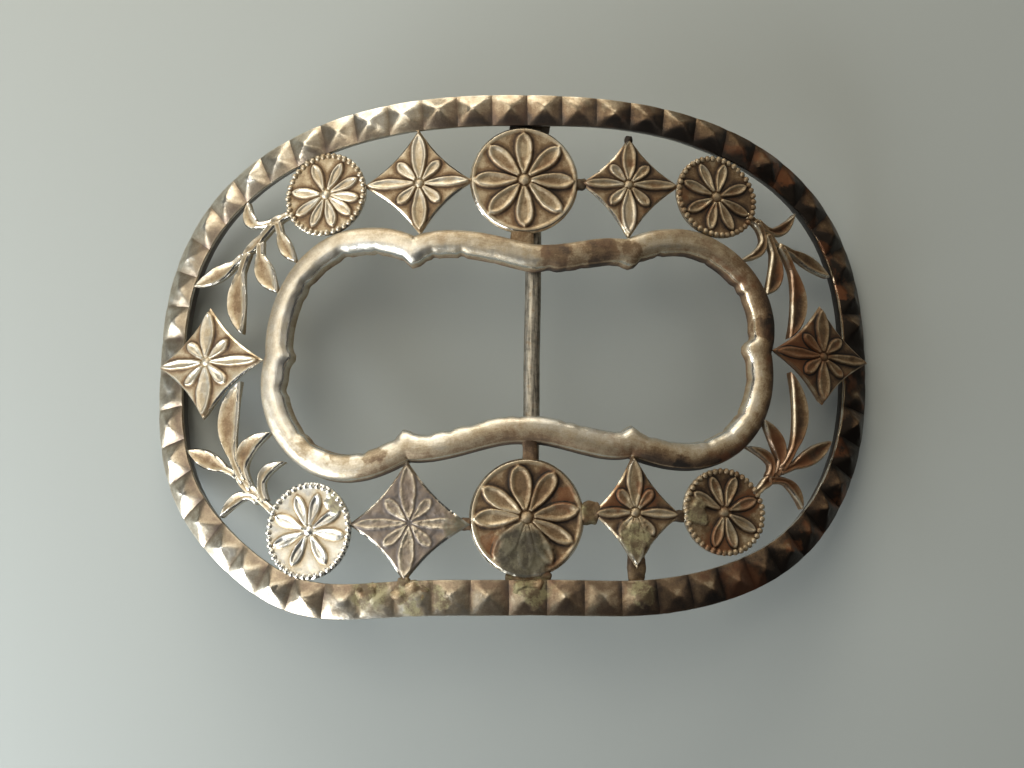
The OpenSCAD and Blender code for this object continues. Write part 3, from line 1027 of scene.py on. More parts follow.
def relief_marks(desk, given, at, part):
    """Crest on what stands out, dirt on the low ground and in the hollows, and painted shade on the walls."""
    flank, edge_width, boss_radius = given["Flank"], given["Edge width"], given["Boss radius"]
    rubbed_edge = 1.0 - desk.smooth(at.inset, edge_width * 0.6, edge_width * 1.3)
    rib = desk.hump(at.outside + desk.maths("ABSOLUTE", at.within - RIB_IN), RIB_REACH) * part.clear
    crest = (rib * 0.9 + part.lip * 0.8 + part.boss) * (1.0 - given["Wear"] * 0.4) + rubbed_edge * 1.4
    # The ground is made darker along the foot of each petal's flank.
    foot = 1.0 - desk.smooth(at.outside, flank, flank + FOOT_REACH)
    crease = desk.hump(desk.maths("ABSOLUTE", at.outside - flank), CREASE_REACH)
    ground = (0.28 + foot * 0.6 + crease * 0.4) * (1.0 - part.petal) * (1.0 - part.lip)
    ground = ground * (1.0 - part.boss) * (1.0 - part.solder)
    ground = ground * (0.4 + 0.6 * desk.smooth(at.away, boss_radius, boss_radius * 1.8 + 0.01))
    leafy = desk.given(given["Leaf dip"])
    hollow = desk.smooth(at.within, 0.2, 0.5) * part.clear * given["Hollow dirt"]
    hollow = hollow + part.trough * leafy * 0.6
    # Walls and back get full dirt, which paints them dark as shade.
    dirt = at.upper * desk.maths("MAXIMUM", ground * (1.0 - leafy), hollow) + (1.0 - at.upper)
    return {"crest": crest, "dirt": dirt, "solder": part.solder * at.upper}


def relief_tree():
    """Works a flat blank by a flat drawing, and wraps it on the arch."""
    desk, given = open_tree("chased_relief", RELIEF_INPUTS)
    at = distances(desk, given)
    part = relief_parts(desk, given, at)
    geometry = desk.store(given["Geometry"], **relief_marks(desk, given, at, part))
    stretch = (relief_height(desk, given, at, part) + ARCH_R) / ARCH_R
    turn = at.x / ARCH_R
    drop = desk.maths("SQRT", 1.0 - turn * turn) * ARCH_R
    wrapped = desk.joined(at.x * stretch, at.y, drop * stretch - AXIS_DEPTH)
    geometry = desk.add("GeometryNodeSetPosition", {}, {"Geometry": geometry, "Position": wrapped})
    return close_tree(desk, geometry, given["Material"])


chased_relief = relief_tree()

# %% [markdown]
# ## Blanks and drawings
# A blank is the plate before it is chased. Its upper face is cut into fine rings round its middle, or into
# fine strips along a leaf, about a tenth of a millimetre apart, because a rib is only three of those wide.
# Each point of the blank knows how far it is inside the edge, and whether it belongs to the upper face.

# %% Blanks
PLATE_T = 1.1
LEAF_T = 0.85
LEAF_BACK = 0.7
WALL_STEP = 0.36
BACK_BEVEL = 0.4
EDGE_STEPS = [0.33, 0.26, 0.22, 0.12, 0.03, 0.0]
STRIP_TICKS = [1.0, 0.95, 0.86, 0.72, 0.52, 0.27, 0.0]


def inset_of(points, outline):
    """The distance of plan points to a closed outline."""
    a = np.asarray(outline, float)
    b = np.roll(a, -1, axis=0)
    p = np.asarray(points, float)[:, None, :]
    side = b - a
    t = np.clip(((p - a) * side).sum(2) / np.maximum((side**2).sum(1), 1e-12), 0, 1)
    return np.sqrt(((p - a - t[..., None] * side) ** 2).sum(2).min(1))


def level(plan, z):
    """Plan points at one height."""
    return [(*p, z) for p in plan]


def blank_of(points, faces, upper, inset):
    """A blank whose first points are the upper face. Points without an inset count as its edge."""
    rest = len(points) - upper
    inset = np.append(inset, [0.0] * (len(points) - len(inset)))
    return mesh_of("blank", points, faces, upper=[1.0] * upper + [0.0] * rest, inset=inset)


def round_blank(outline, middle, rings):
    """A closed plate with its upper face in rings round its middle, finer along its edge."""
    outline, middle = np.asarray(outline, float), np.asarray(middle, float)
    count = len(outline)
    reach = np.linalg.norm(outline - middle, axis=1).min()
    coarse = np.linspace(0, 1 - EDGE_STEPS[0] / reach, rings)[1:]
    shares = [*coarse, *(1 - s / reach for s in EDGE_STEPS[1:])]
    plan = [middle] + [middle + (p - middle) * share for share in shares for p in outline]
    back = middle + (outline - middle) * (1 - BACK_BEVEL / reach)
    walls = level(outline, -WALL_STEP) + level(back, -PLATE_T)
    points = level(plan, 0.0) + walls + level([middle], -PLATE_T)
    faces = fan_faces(0, 1, count)
    faces += grid_faces(len(shares) + 2, count, first=1, closed=True, turned=True)
    hub = len(points) - 1
    faces += fan_faces(hub, hub - count, count, turned=True)
    return blank_of(points, faces, len(plan), inset_of(plan, outline))


def strip_blank(line, halves):
    """A closed strip that follows a line with a given half width at each of its points."""
    along = np.gradient(line, axis=0)
    along /= np.linalg.norm(along, axis=1)[:, None]
    side = np.stack([-along[:, 1], along[:, 0]], axis=1)
    ticks = np.array(STRIP_TICKS + [-t for t in STRIP_TICKS[-2::-1]])
    grid = line[:, None, :] + side[:, None, :] * halves[:, None, None] * ticks[None, :, None]
    rows, columns = len(line), len(ticks)
    plan = grid.reshape(-1, 2)
    back = (line[:, None, :] + (grid - line[:, None, :]) * LEAF_BACK).reshape(-1, 2)
    numbers = np.arange(len(plan)).reshape(rows, columns)
    corners = [numbers[:, 0], numbers[-1, 1:], numbers[-2::-1, -1], numbers[0, -2:0:-1]]
    edge = np.concatenate(corners).tolist()
    upper, lower = len(plan), len(plan) + len(edge)
    points = level(plan, 0.0) + level(plan[edge], -WALL_STEP) + level(back, -LEAF_T)
    faces = grid_faces(rows, columns) + grid_faces(rows, columns, first=lower, turned=True)
    for k, here in enumerate(edge):
        n = (k + 1) % len(edge)
        after = edge[n]
        faces.append((here, after, upper + n, upper + k))
        faces.append((upper + k, upper + n, lower + after, lower + here))
    inset = inset_of(plan, plan[edge])
    return blank_of(points, faces, upper, np.concatenate([inset, np.zeros(len(edge)), inset]))


# %% Drawings
PETAL_STEPS = 15


def circle(middle, radius, count, tall=1.0):
    turns = np.arange(count) * 2 * math.pi / count
    return [(middle[0] + radius * math.cos(t), middle[1] + radius * tall * math.sin(t)) for t in turns]


def petal(middle, turn, near, far, half, power=1.5, fullness=0.7):
    """The outline of a petal. Its power moves its widest place outwards; its fullness rounds its ends."""
    shares = np.linspace(0, 1, PETAL_STEPS)[:-1]
    points = []
    for t, side in [(t, 1) for t in shares] + [(1 - t, -1) for t in shares]:
        wide = max(0.0, math.sin(math.pi * t**power)) ** fullness
        points.append((near + (far - near) * t, side * half * wide))
    c, s = math.cos(math.radians(turn)), math.sin(math.radians(turn))
    return [(middle[0] + c * a - s * b, middle[1] + s * a + c * b) for a, b in points]


def drawing_of(outlines):
    """A flat mesh of closed outlines, for the relief tree to measure."""
    points, faces = [], []
    for outline in outlines:
        faces.append(range(len(points), len(points) + len(outline)))
        points += level(outline, 0.0)
    return mesh_of("drawing", points, faces)


def chase(blank, outlines, material, **values):
    """The mesh of a blank that is chased by a drawing of closed outlines."""
    values["Material"] = material
    return work(chased_relief, blank, {"Drawing": drawing_of(outlines)}, values)


# %% [markdown]
# ## A plate and its finish
# Flowers, discs and diamonds are all a plate with petals round its middle. Most have the same silver, and a
# short table names those with a finish of their own. Where solder has run over a plate, a blob says so, by
# its plan place, its radius and its height.

# %% Plates
OWN_FINISH = {
    "flower_lower": sooty_silver,
    "disc_lower_left": bright_silver,
    "diamond_lower_left": bloom_silver,
    "diamond_right_end": ruddy_silver,
    "spray_lower_right": ruddy_silver,
    "spray_upper_right": ruddy_silver,
}


def finish_of(name):
    return OWN_FINISH.get(name, plate_silver)


def chased_plate(name, outline, middle, rings, petals, **values):
    """A finished plate with petals round its middle."""
    finish = finish_of(name)
    blank = round_blank(outline, middle, rings)
    finish_piece(name, [chase(blank, petals, finish, Middle=(*middle, 0.0), **values)], finish)


def blob(x, y, radius, height):
    return {"Solder_place": (x, y, 0.0), "Solder_radius": radius, "Solder_height": height}


# %% [markdown]
# ## The two large flowers
# Each is a disc of about 12 mm with long petals round a small boss. They were struck by hand, so each has
# its own turn and width in a short table, and the lower flower squeezes in one more. It lost part of its
# petals under an old blob of solder.

# %% Large flowers
FLOWER_R = 5.75
FLOWER_TALL = 1.03
FLOWER_STEPS = 320
FLOWER_RINGS = 60
BOSS_R = 0.65
WIDENED = 1.08
PETAL_GAP = 0.6
FLOWER_RELIEF = {"Boss_radius": BOSS_R, "Lip_height": 0.12, "Lip_width": 0.36, "Hollow_dirt": 0.22}
# Middle, the turn and half width of each petal, and solder
FLOWERS = {
    "flower_upper": (
        (0.4, 17.83),
        [
            (90, 0.76), (43, 0.72), (-2, 0.68), (-42, 0.68), (-90, 0.76), (-135, 0.72), (180, 0.68),
            (134, 0.72),
        ],
        {},
    ),
    "flower_lower": (
        (0.2, -17.7),
        [
            (146, 0.74), (99, 0.92), (57, 0.74), (8, 0.70), (-29, 0.60), (-62, 0.5), (-92, 0.6), (-128, 0.8),
            (181, 0.74),
        ],
        blob(-0.3, -21.3, 3.4, 0.3),
    ),
}


def flower(name, middle, petals, solder):
    far = FLOWER_R - PETAL_GAP
    outlines = [petal(middle, turn, BOSS_R, far, half * WIDENED, fullness=0.55) for turn, half in petals]
    outline = circle(middle, FLOWER_R, FLOWER_STEPS, FLOWER_TALL)
    chased_plate(name, outline, middle, FLOWER_RINGS, outlines, **FLOWER_RELIEF, **solder)


for name, row in FLOWERS.items():
    flower(name, *row)

# %% [markdown]
# ## The four small discs
# They are flowers too, and their edge is a ring of beads. The beads are one small unit that the row tree
# bends round a circle.

# %% One bead
BEADS = 42
BEAD_ROWS = 6
BEAD_COLUMNS = 10
BEAD_HALVES = (0.47, 0.34, 0.28)
BEAD_LIFT = 0.05


def bead_unit():
    """A small round bead, most of a step long."""
    downs = np.linspace(0, math.pi, BEAD_ROWS + 1)[1:-1]
    rounds = np.arange(BEAD_COLUMNS) * 2 * math.pi / BEAD_COLUMNS + math.pi / 2
    ball = [(0.0, 0.0, 1.0)]
    for a in downs:
        ball += [(math.sin(a) * math.cos(b), math.sin(a) * math.sin(b), math.cos(a)) for b in rounds]
    ball.append((0.0, 0.0, -1.0))
    half_x, half_y, half_z = BEAD_HALVES
    points = [(x * half_x, y * half_y, z * half_z + BEAD_LIFT) for x, y, z in ball]
    last = len(points) - 1
    faces = fan_faces(0, 1, BEAD_COLUMNS)
    faces += grid_faces(len(downs), BEAD_COLUMNS, first=1, closed=True, turned=True)
    faces += fan_faces(last, last - BEAD_COLUMNS, BEAD_COLUMNS, turned=True)
    crest = [0.55 + max(0.0, z) * 1.6 for _, _, z in points]
    return mesh_of("bead", points, faces, crest=crest, dirt=0.25, solder=0.0)


print("one bead has", len(bead_unit().polygons), "faces")

# %% Small discs
DISC_R = 4.6
DISC_STEPS = 256
DISC_RINGS = 48
DISC_BOSS_R = 0.55
DISC_PETAL_HALF = 0.47
DISC_PETAL_GAP = 0.7
BEADS_IN = 0.25
BEAD_PATH_STEPS = 96
DISC_RELIEF = {
    "Boss_radius": DISC_BOSS_R, "Petal_height": 0.26, "Petal_dip": 0.16, "Flank": 0.2, "Hollow_reach": 0.32,
    "Hollow_dirt": 0.2, "Shake": 0.09, "Edge_round": 0.12,
}
# Middle, radius, height for its width, turns of the petals, and solder
DISCS = {
    "disc_upper_left": ((-20.8, 17.3), DISC_R - 0.2, 1.04, (170, 112, 62, 22, -12, -42, -76, -112, -148), {}),
    "disc_upper_right": ((21.5, 17.25), DISC_R, 1.0, (160, 117, 75, 25, -25, -65, -105, -150), {}),
    "disc_lower_left": (
        (-21.85, -18.6), DISC_R - 0.15, 1.1, (155, 110, 75, 30, -10, -60, -115, -160),
        blob(-18.6, -15.6, 1.6, 0.2),
    ),
    "disc_lower_right": (
        (20.7, -17), DISC_R - 0.15, 1.0, (150, 110, 70, 20, -30, -75, -110),
        blob(17.6, -17.2, 1.5, 0.3),
    ),
}


def disc(name, middle, radius, tall, turns, solder):
    far = radius - DISC_PETAL_GAP
    outlines = [petal(middle, turn, DISC_BOSS_R, far, DISC_PETAL_HALF, fullness=0.6) for turn in turns]
    outline = circle(middle, radius, DISC_STEPS, tall)
    chased_plate(name, outline, middle, DISC_RINGS, outlines, **DISC_RELIEF, **solder)
    path = loop_of("bead_line", circle(middle, radius - BEADS_IN, BEAD_PATH_STEPS, tall))
    finish = finish_of(name)
    beads = bend_row(bead_unit(), path, finish, Count=BEADS, Height_chance=0.3, Lean=0.15, Unevenness=0.08)
    finish_piece(name.replace("disc", "beads"), [beads], finish, sharp=80)


for name, row in DISCS.items():
    disc(name, *row)

# %% [markdown]
# ## The diamonds
# A diamond's sides are drawn in a little. It has four long petals to its tips and four short ones between
# them, with blunt ends. The two end diamonds are the same ornament, larger and raised over the border.

# %% Diamonds
DIAMOND_STEPS = 60
DIAMOND_RINGS = 54
DRAW_IN = 0.5
PETAL_NEAR = 0.4
LONG_SHARE, SHORT_SHARE = 0.9, 0.74
PETAL_THIN = 0.14
LONG_WIDTHS = (0.05, 0.095)
SHORT_WIDTH = 0.055
END_LIFT = 0.7
DIAMOND_RELIEF = {
    "Petal_height": 0.27, "Petal_dip": 0.12, "Flank": 0.22, "Hollow_reach": 0.36, "Hollow_dirt": 0.22,
}
WORN_FLAT = {"Wear": 0.66, "Boss_radius": 0.0}
# Middle, the four tips, lift, and wear and solder
DIAMONDS = {
    "diamond_upper_left": ((-10.7, 17.7), [(-16.7, 17.8), (-10.6, 12), (-5, 17.8), (-10.8, 23.8)], 0.0, {}),
    "diamond_upper_right": ((11.6, 17.7), [(6.4, 17.6), (11.4, 11.6), (17.3, 18), (11.8, 23.1)], 0.0, {}),
    "diamond_lower_left": (
        (-11.5, -18.1), [(-17.7, -18.1), (-12, -24), (-5.4, -18.4), (-11.8, -11.8)], 0.0,
        {**WORN_FLAT, **blob(-6.2, -18.5, 2.0, 0.1)},
    ),
    "diamond_lower_right": (
        (11.2, -17.2), [(6.8, -17.3), (11.2, -23), (16, -17.4), (11.2, -11.2)], 0.0,
        {"Wear": 0.2, **blob(11.0, -20.0, 2.2, 0.3)},
    ),
    "diamond_left_end": ((-33.5, 0), [(-39.4, 0.2), (-33.6, -6.3), (-27, -0.5), (-33.3, 6)], END_LIFT, {}),
    "diamond_right_end": ((33.1, 0.4), [(26.9, 0.5), (32.7, -5), (39.3, 0.5), (33.2, 6.2)], END_LIFT, {}),
}


def diamond_petal(middle, toward, share, half, **shape):
    """A petal from near the middle to a share of the way to a plan point."""
    reach = toward - middle
    turn = math.degrees(math.atan2(reach[1], reach[0]))
    return petal(middle, turn, PETAL_NEAR, np.linalg.norm(reach) * share, PETAL_THIN + half, **shape)


def diamond(name, middle, tips, lift, values):
    middle, *tips = (np.array(p, float) for p in (middle, *tips))
    outline, outlines = [], []
    for i, (a, b) in enumerate(zip(tips, tips[1:] + tips[:1])):
        for t in np.arange(DIAMOND_STEPS) / DIAMOND_STEPS:
            side = a + (b - a) * t
            outline.append(side + (middle - side) * DRAW_IN * t * (1 - t))
        size = np.linalg.norm(a - middle)
        outlines.append(diamond_petal(middle, a, LONG_SHARE, size * LONG_WIDTHS[i % 2], power=1.2))
        blunt = {"power": 1.8, "fullness": 0.55}
        outlines.append(diamond_petal(middle, (a + b) / 2, SHORT_SHARE, size * SHORT_WIDTH, **blunt))
    values = {"Boss_radius": 0.5, "Lift": lift, **DIAMOND_RELIEF, **values}
    chased_plate(name, outline, middle, DIAMOND_RINGS, outlines, **values)


for name, row in DIAMONDS.items():
    diamond(name, *row)

# %% [markdown]
# ## The sprays
# In each corner a stalk grows from the small disc and divides into curved leaves. A leaf is a strip with a
# raised edge all round and a hollow middle. Each row gives its root, its middle, its tip and its width.
# Later rows lie a little higher, so that two leaves never share a face.

# %% Sprays of leaves
SPRAYS = {
    "spray_upper_left": [
        [(-24.8, 15.6), (-26, 15.2), (-27.2, 14.6), 1.1],
        [(-26.6, 15), (-29.1, 15.2), (-29.7, 17.7), 1.4],
        [(-26.2, 15), (-25.4, 12.4), (-24, 10.1), 1.5],
        [(-26.6, 14.8), (-28.4, 12.9), (-30.2, 11.5), 1.1],
        [(-30, 11.6), (-32.4, 10.1), (-35.8, 9), 1.9],
        [(-28, 12.8), (-27.6, 9.8), (-25.9, 6.9), 2.1],
        [(-29.4, 11.8), (-30.5, 7.3), (-29.8, 2.8), 2.2],
    ],
    "spray_lower_left": [
        [(-25.8, -16.4), (-28.2, -14.2), (-30.2, -12.2), 1.2],
        [(-27.4, -15.4), (-29.4, -14.8), (-31.6, -16.8), 1.3],
        [(-26.6, -15.4), (-26.9, -12.7), (-24.6, -11.4), 1.2],
        [(-28.2, -14), (-29.1, -10.4), (-26.2, -8.2), 1.9],
        [(-29.8, -12.5), (-32.7, -10.9), (-35.7, -9.3), 1.9],
        [(-29, -13.2), (-31, -7.6), (-29.8, -2.4), 2.3],
    ],
    "spray_lower_right": [
        [(24.2, -15.2), (25.6, -13.9), (27.4, -12.4), 1.1],
        [(26, -13.6), (28.6, -13.9), (29.9, -16.4), 1.1],
        [(26, -13.2), (26.2, -11.3), (23.6, -10.1), 1.1],
        [(26.8, -13), (27.4, -10.1), (25.6, -7), 1.8],
        [(27.2, -12.6), (30.7, -11), (34, -8.8), 1.8],
        [(27.4, -12.4), (30.1, -7.2), (29.3, -1.6), 1.9],
    ],
    "spray_upper_right": [
        [(25, 15.6), (26.6, 14.6), (29, 12.4), 1.1],
        [(26.4, 15.1), (28.8, 14.3), (31.2, 16.8), 1.2],
        [(26, 15.2), (26.8, 12.3), (23.7, 10.2), 1],
        [(27.4, 13.8), (28.3, 9.9), (26.8, 6.8), 1.8],
        [(28.8, 12.6), (31.9, 11.5), (35.2, 10), 1.6],
        [(29, 12.6), (30.9, 7.2), (29.4, 2.2), 2],
    ],
}
LEAF_STEPS = 40
LEAF_LIFT = 0.04
STALK = 0.4
STALK_SHARE = 0.12
BLADE_POWER, BLADE_FULLNESS = 1.15, 0.8
LEAST_HALF = 0.02
LEAF_RELIEF = {
    "Lip_height": 0.12, "Lip_width": 0.2, "Leaf_dip": 0.16, "Shake": 0.0, "Edge_round": 0.1,
    "Edge_width": 0.13,
}
# A leaf has no petals, so its drawing is a dot too far away to be felt
FAR_AWAY = 50


def leaf(root, middle, tip, wide, lift, finish):
    root, middle, tip = (np.array(p, float) for p in (root, middle, tip))
    handle = 2 * middle - (root + tip) / 2
    t = np.linspace(0, 1, LEAF_STEPS)
    steps = t[:, None]
    line = (1 - steps) ** 2 * root + 2 * steps * (1 - steps) * handle + steps**2 * tip
    along_blade = np.clip((t - STALK_SHARE) / (1 - STALK_SHARE), 0, 1)
    blade = np.sin(np.pi * along_blade**BLADE_POWER) ** BLADE_FULLNESS
    halves = np.maximum(wide / 2 * blade, STALK * (1 - t**5)) + LEAST_HALF
    dot = circle((root[0] + FAR_AWAY, 0), 0.1, 3)
    return chase(strip_blank(line, halves), [dot], finish, Lift=lift, **LEAF_RELIEF)


for name, rows in SPRAYS.items():
    finish = finish_of(name)
    leaves = [leaf(*row, lift=LEAF_LIFT * i, finish=finish) for i, row in enumerate(rows)]
    finish_piece(name, leaves, finish)

# %% [markdown]
# ## Solder joints
# Where two ornaments meet the rim or the border, solder has run into a lump. A lump is a ball that is
# pressed to the joint's box and made uneven by noise. Each row gives two plan corners, the top of the lump,
# its dirt, and how much of it is caked solder. For the joint behind the upper flower the dirt is painted
# shade.

# %% Solder joints
JOINTS = {
    "flower_upper_rim": ((-0.9, 10.4), (1.2, 12.4), 0.0, 0.1, 0.0),
    # This joint gets the most dirt, which paints it dark as the shade behind the flower's top.
    "flower_upper_border": ((-0.9, 22.8), (1.3, 24.8), -0.6, 1.6, 0.0),
    "flower_lower_rim": ((0, -12.6), (1.3, -9.4), 0.0, 0.5, 0.0),
    "flower_lower_border": ((-1.8, -24.6), (2.4, -22.8), -0.1, 0.4, 0.8),
    "diamond_lower_right_flower": ((5.7, -18.2), (7.4, -16.3), 0.15, 0.3, 0.5),
    "diamond_lower_left_flower": ((-6.6, -18.8), (-5.2, -17.8), 0.0, 0.9, 0.0),
    "diamond_upper_right_flower": ((5.95, 17.1), (6.9, 18), 0.0, 0.9, 0.2),
    "border_run_left": ((-16.8, -26.2), (-14.2, -24.2), 0.34, 0.4, 1.0),
    "border_run_right": ((-13.3, -26), (-9.8, -24.1), 0.3, 0.5, 1.0),
    "border_under_flower": ((-1.3, -25.4), (1.9, -23.9), 0.5, 0.4, 1.0),
    "diamond_lower_left_border": ((-12.6, -24.8), (-11.5, -23.5), 0.1, 0.5, 0.8),
    "diamond_lower_right_disc": ((15, -17.9), (17, -17), 0.0, 0.8, 0.1),
    "diamond_lower_right_border": ((10.5, -24.6), (12.0, -20.6), -0.1, 0.8, 0.1),
}
SQUARENESS = 0.62
LUMP_LOW = -1.15
LUMP_MARGIN = 0.15
# Waves to a millimetre, push on plain metal, and push added on caked solder
LUMP_NOISES = [(0.9, 0.18, 0.24), (2.4, 0.08, 0.08)]
PATCH_NOISE = 1.1


def lump(corner, opposite, top, dirt, solder, seed, low=LUMP_LOW):
    """A rounded block between two plan corners, with its own dirt, which for one joint paints shade, and its
    own share of solder.
    """
    (x0, y0), (x1, y1) = corner, opposite
    shape = bmesh.new()
    bmesh.ops.create_icosphere(shape, subdivisions=4, radius=1)
    ball, faces = lists_of(shape)
    centre = Vector(((x0 + x1) / 2, (y0 + y1) / 2, (top + low) / 2))
    half = Vector((abs(x1 - x0) / 2 + LUMP_MARGIN, abs(y1 - y0) / 2 + LUMP_MARGIN, (top - low) / 2))
    shift = Vector((seed, 0, 0))
    points, caked, rubbed = [], [], []
    for place in ball:
        p = Vector([math.copysign(abs(c) ** SQUARENESS, c) * h for c, h in zip(place, half)])
        for waves, push, solder_push in LUMP_NOISES:
            p += noise.noise_vector((p + centre) * waves + shift) * (push + solder_push * solder)
        p += centre
        patch = noise.noise(p * PATCH_NOISE + shift)
        points.append(on_arch(p.x, p.y, p.z))
        caked.append(min(1.0, max(0.0, solder * (0.85 + 2.2 * patch))))
        rubbed.append(max(0.0, -1.6 * patch * solder))
    return mesh_of("lump", points, faces, crest=rubbed, dirt=dirt, solder=caked)


for seed, (name, row) in enumerate(JOINTS.items()):
    finish_piece("solder_" + name, [lump(*row, seed=seed)], solder_silver, sharp=80)

broken_tip = lump((11.5, 22.6), (12.1, 23.2), 0.2, 1.0, 0.0, seed=20, low=-0.9)
finish_piece("solder_broken_tip", [broken_tip], solder_silver, sharp=80)

# %% [markdown]
# ## The bar and its lugs
# A steel bar crosses the window under the ornaments, a little askew. It is a drawn wire, so its finish runs
# along it. The two lugs that hold it are hidden under the border, and are plain filed blocks.

# %% Steel finish
STEEL_DARK = (0.10, 0.09, 0.075)
STEEL_LIGHT = (0.50, 0.46, 0.38)
RUST = (0.17, 0.10, 0.05)
DRAWN_ROUND, DRAWN_ALONG = 6.0, 0.35
DRAWN_NOISE = (1.0, 4.0, 0.6)
RUST_NOISE = (1.3, 4.0, 0.65)
STEEL_BUMP = 0.05


def steel():
    """Drawn steel with fine lines along Y and spots of rust."""
    material, desk, place = open_finish("bar_steel")
    x, y, z = desk.parts(place)
    lines = desk.joined(x * DRAWN_ROUND, y * DRAWN_ALONG, z * DRAWN_ROUND)
    drawn = desk.noise(lines, *DRAWN_NOISE)
    spots = desk.noise(place, *RUST_NOISE)
    ground = desk.mix(desk.smooth(drawn * 0.6 + spots * 0.4, 0.35, 0.65), STEEL_DARK, STEEL_LIGHT)
    ground = desk.mix(desk.smooth(spots, 0.52, 0.7) * 0.6, ground, RUST)
    surface = {"Base_Color": ground, "Metallic": 0.9, "Roughness": 0.32 + spots * 0.25}
    close_finish(desk, drawn + spots * 0.6, 0.3, STEEL_BUMP, **surface)
    return material


bar_steel = steel()
print("the steel finish has", len(bar_steel.node_tree.nodes), "nodes")

# %% The bar
BAR_D = 1.7
BAR_TURN = -1.4
BAR_LEAN = math.tan(math.radians(BAR_TURN))
BAR_SIDES = 28
BAR_RINGS = 90
BAR_WANDER = 0.05
WANDER_WAVES = 0.12
UNROUND = 0.015
UNROUND_WAVES = 0.5
bar_low, bar_high = (np.array(corner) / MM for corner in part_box("bar"))
bar_x, bar_y, bar_z = (bar_low + bar_high) / 2


def bar():
    """A round wire from the bar's lower to its upper end, not quite straight."""
    points = []
    for y in np.linspace(bar_low[1], bar_high[1], BAR_RINGS):
        wander = noise.noise_vector(Vector((0, y * WANDER_WAVES, 0))) * BAR_WANDER
        x = bar_x - (y - bar_y) * BAR_LEAN + wander.x
        for a in np.arange(BAR_SIDES) * 2 * math.pi / BAR_SIDES:
            dent = noise.noise(Vector((math.cos(a), y * UNROUND_WAVES, math.sin(a))))
            r = BAR_D / 2 * (1 + UNROUND * dent)
            points.append((x + r * math.cos(a), y, bar_z + wander.z + r * math.sin(a)))
    faces = grid_faces(BAR_RINGS, BAR_SIDES, closed=True, turned=True)
    faces.append(range(BAR_SIDES))
    faces.append(range(len(points) - 1, len(points) - 1 - BAR_SIDES, -1))
    piece = finish_piece("bar_steel", [mesh_of("bar", points, faces)], bar_steel, sharp=60)
    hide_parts("bar")


bar()

# %% The lugs
LUG_W = 3.2
LUG_OUT = HALF_W - 0.5
LUG_IN = HALF_W - BORDER_W + 0.2
LUG_WALL = 0.9
LUG_SINK = 0.5
LUG_BEVEL = 0.25


def lug(name, side):
    """A filed block under the border, round an end of the bar."""
    bottom = bar_z - BAR_D / 2 - LUG_WALL
    top = CROWN - BORDER_T + LUG_SINK
    middle_x = bar_x - side * BAR_LEAN * LUG_OUT
    middle_y = side * (LUG_OUT + LUG_IN) / 2 + BORDER_SHIFT
    block = bmesh.new()
    bmesh.ops.create_cube(block, size=1.0)
    bmesh.ops.scale(block, vec=(LUG_W, LUG_OUT - LUG_IN, top - bottom), verts=block.verts)
    bmesh.ops.translate(block, vec=(middle_x, middle_y, (top + bottom) / 2), verts=block.verts)
    edges = block.edges[:]
    bmesh.ops.bevel(block, geom=edges, offset=LUG_BEVEL, segments=3, profile=0.5, affect="EDGES")
    mesh = mesh_of(name, *lists_of(block), crest=0.2, dirt=0.4, solder=0.0)
    finish_piece(name, [mesh], hidden_silver)


lug("lug_upper", 1)
lug("lug_lower", -1)

# %% [markdown]
# ## The floor and the light
# The buckle lies on a plain pale floor. Four broad soft lights stand for a room with a window. The window
# light is low on the left and draws the thin white lines on every edge that faces it. The back light pales
# the upper facets. The ceiling light and the room light fill in from above and from the right.

# %% Floor
FLOOR_COLOUR = (0.42, 0.455, 0.447)
# Half of the floor's side, in metres
FLOOR_HALF = 0.6


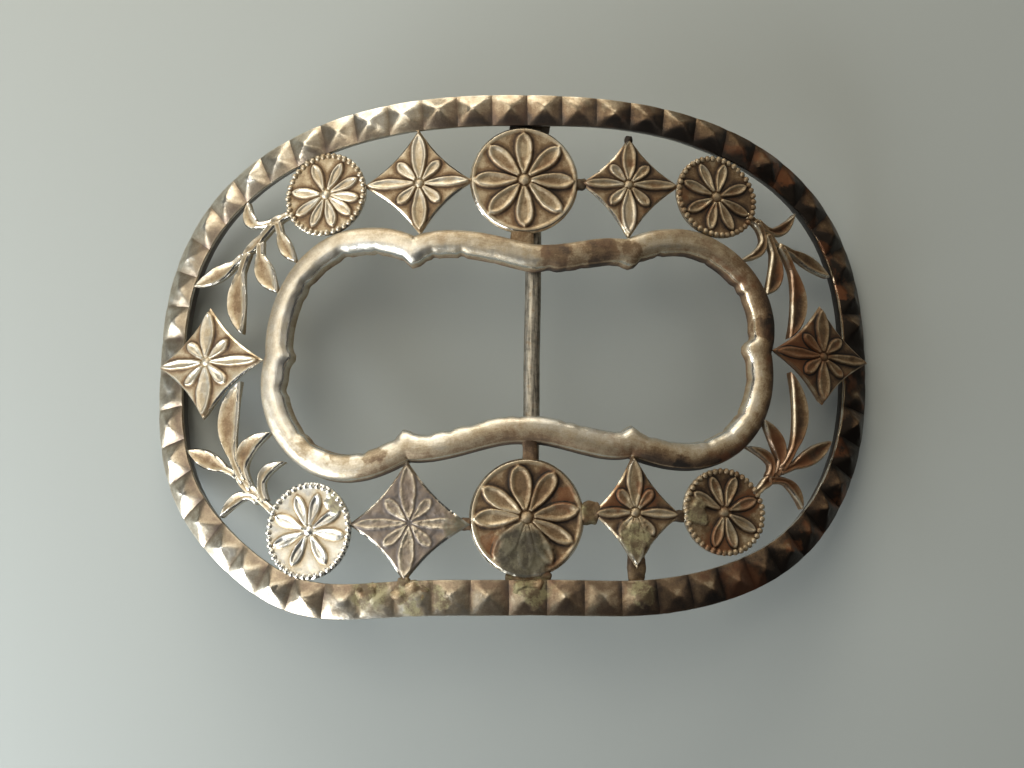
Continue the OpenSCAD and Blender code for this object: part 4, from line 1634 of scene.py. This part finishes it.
def floor():
    corners = [(-FLOOR_HALF, -FLOOR_HALF), (FLOOR_HALF, -FLOOR_HALF), (FLOOR_HALF, FLOOR_HALF)]
    corners.append((-FLOOR_HALF, FLOOR_HALF))
    obj = stock(mesh_of("floor", level(corners, 0.0), [(0, 1, 2, 3)]))
    material = bpy.data.materials.new("floor")
    material.use_nodes = True
    shader = material.node_tree.nodes["Principled BSDF"]
    shader.inputs["Base Color"].default_value = (*FLOOR_COLOUR, 1)
    shader.inputs["Roughness"].default_value = 0.6
    obj.data.materials.append(material)
    obj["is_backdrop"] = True
    print(f"the floor is {2 * FLOOR_HALF:.1f} m wide")


floor()

# %% Lights
WARM = (1.0, 0.93, 0.79)
COOL = (0.94, 0.98, 1.0)
# Azimuth from the buckle's right, elevation, distance, size, power and colour
LIGHTS = {
    "window_light": (212, 16, 200, (190, 100), 0.56, COOL),
    "back_light": (104, 22, 300, (300, 158), 0.52, WARM),
    "ceiling_light": (150, 55, 240, (180, 180), 0.22, WARM),
    "room_light": (28, 48, 420, (440, 340), 0.25, WARM),
}
ROOM_COLOUR = (0.96, 0.98, 1.0)
ROOM_STRENGTH = 0.05


def soft_light(name, azimuth, elevation, away, size, power, colour):
    """A soft light that looks at the buckle."""
    turn, rise = math.radians(azimuth), math.radians(elevation)
    toward = Vector((math.cos(turn) * math.cos(rise), math.sin(turn) * math.cos(rise), math.sin(rise)))
    data = bpy.data.lights.new(name, "AREA")
    data.shape = "RECTANGLE"
    data.size, data.size_y = size[0] * MM, size[1] * MM
    data.energy = power
    data.color = colour
    obj = bpy.data.objects.new(name, data)
    obj.location = (toward * away + Vector((0, 0, CROWN / 2))) * MM
    obj.rotation_euler = (-toward).to_track_quat("-Z", "Y").to_euler()
    scene.collection.objects.link(obj)


for name, row in LIGHTS.items():
    soft_light(name, *row)
scene.view_settings.view_transform = "Standard"
scene.world = bpy.data.worlds.new("world")
scene.world.use_nodes = True
background = scene.world.node_tree.nodes["Background"]
background.inputs["Color"].default_value = (*ROOM_COLOUR, 1)
background.inputs["Strength"].default_value = ROOM_STRENGTH
print("lights", list(LIGHTS))

# %% [markdown]
# ## The two boxes
# The two boxes are printed, so that the finished model can be compared with the CAD model.

# %% Print the boxes and finish
visual_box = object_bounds()
sizes = {"cad": [list(corner) for corner in cad_box], "visual": [list(corner) for corner in visual_box]}
for label, box in sizes.items():
    print(label, "box in mm", [[round(c / MM, 2) for c in corner] for corner in box])
print(len(pieces), "pieces with", sum(pieces.values()), "triangles")
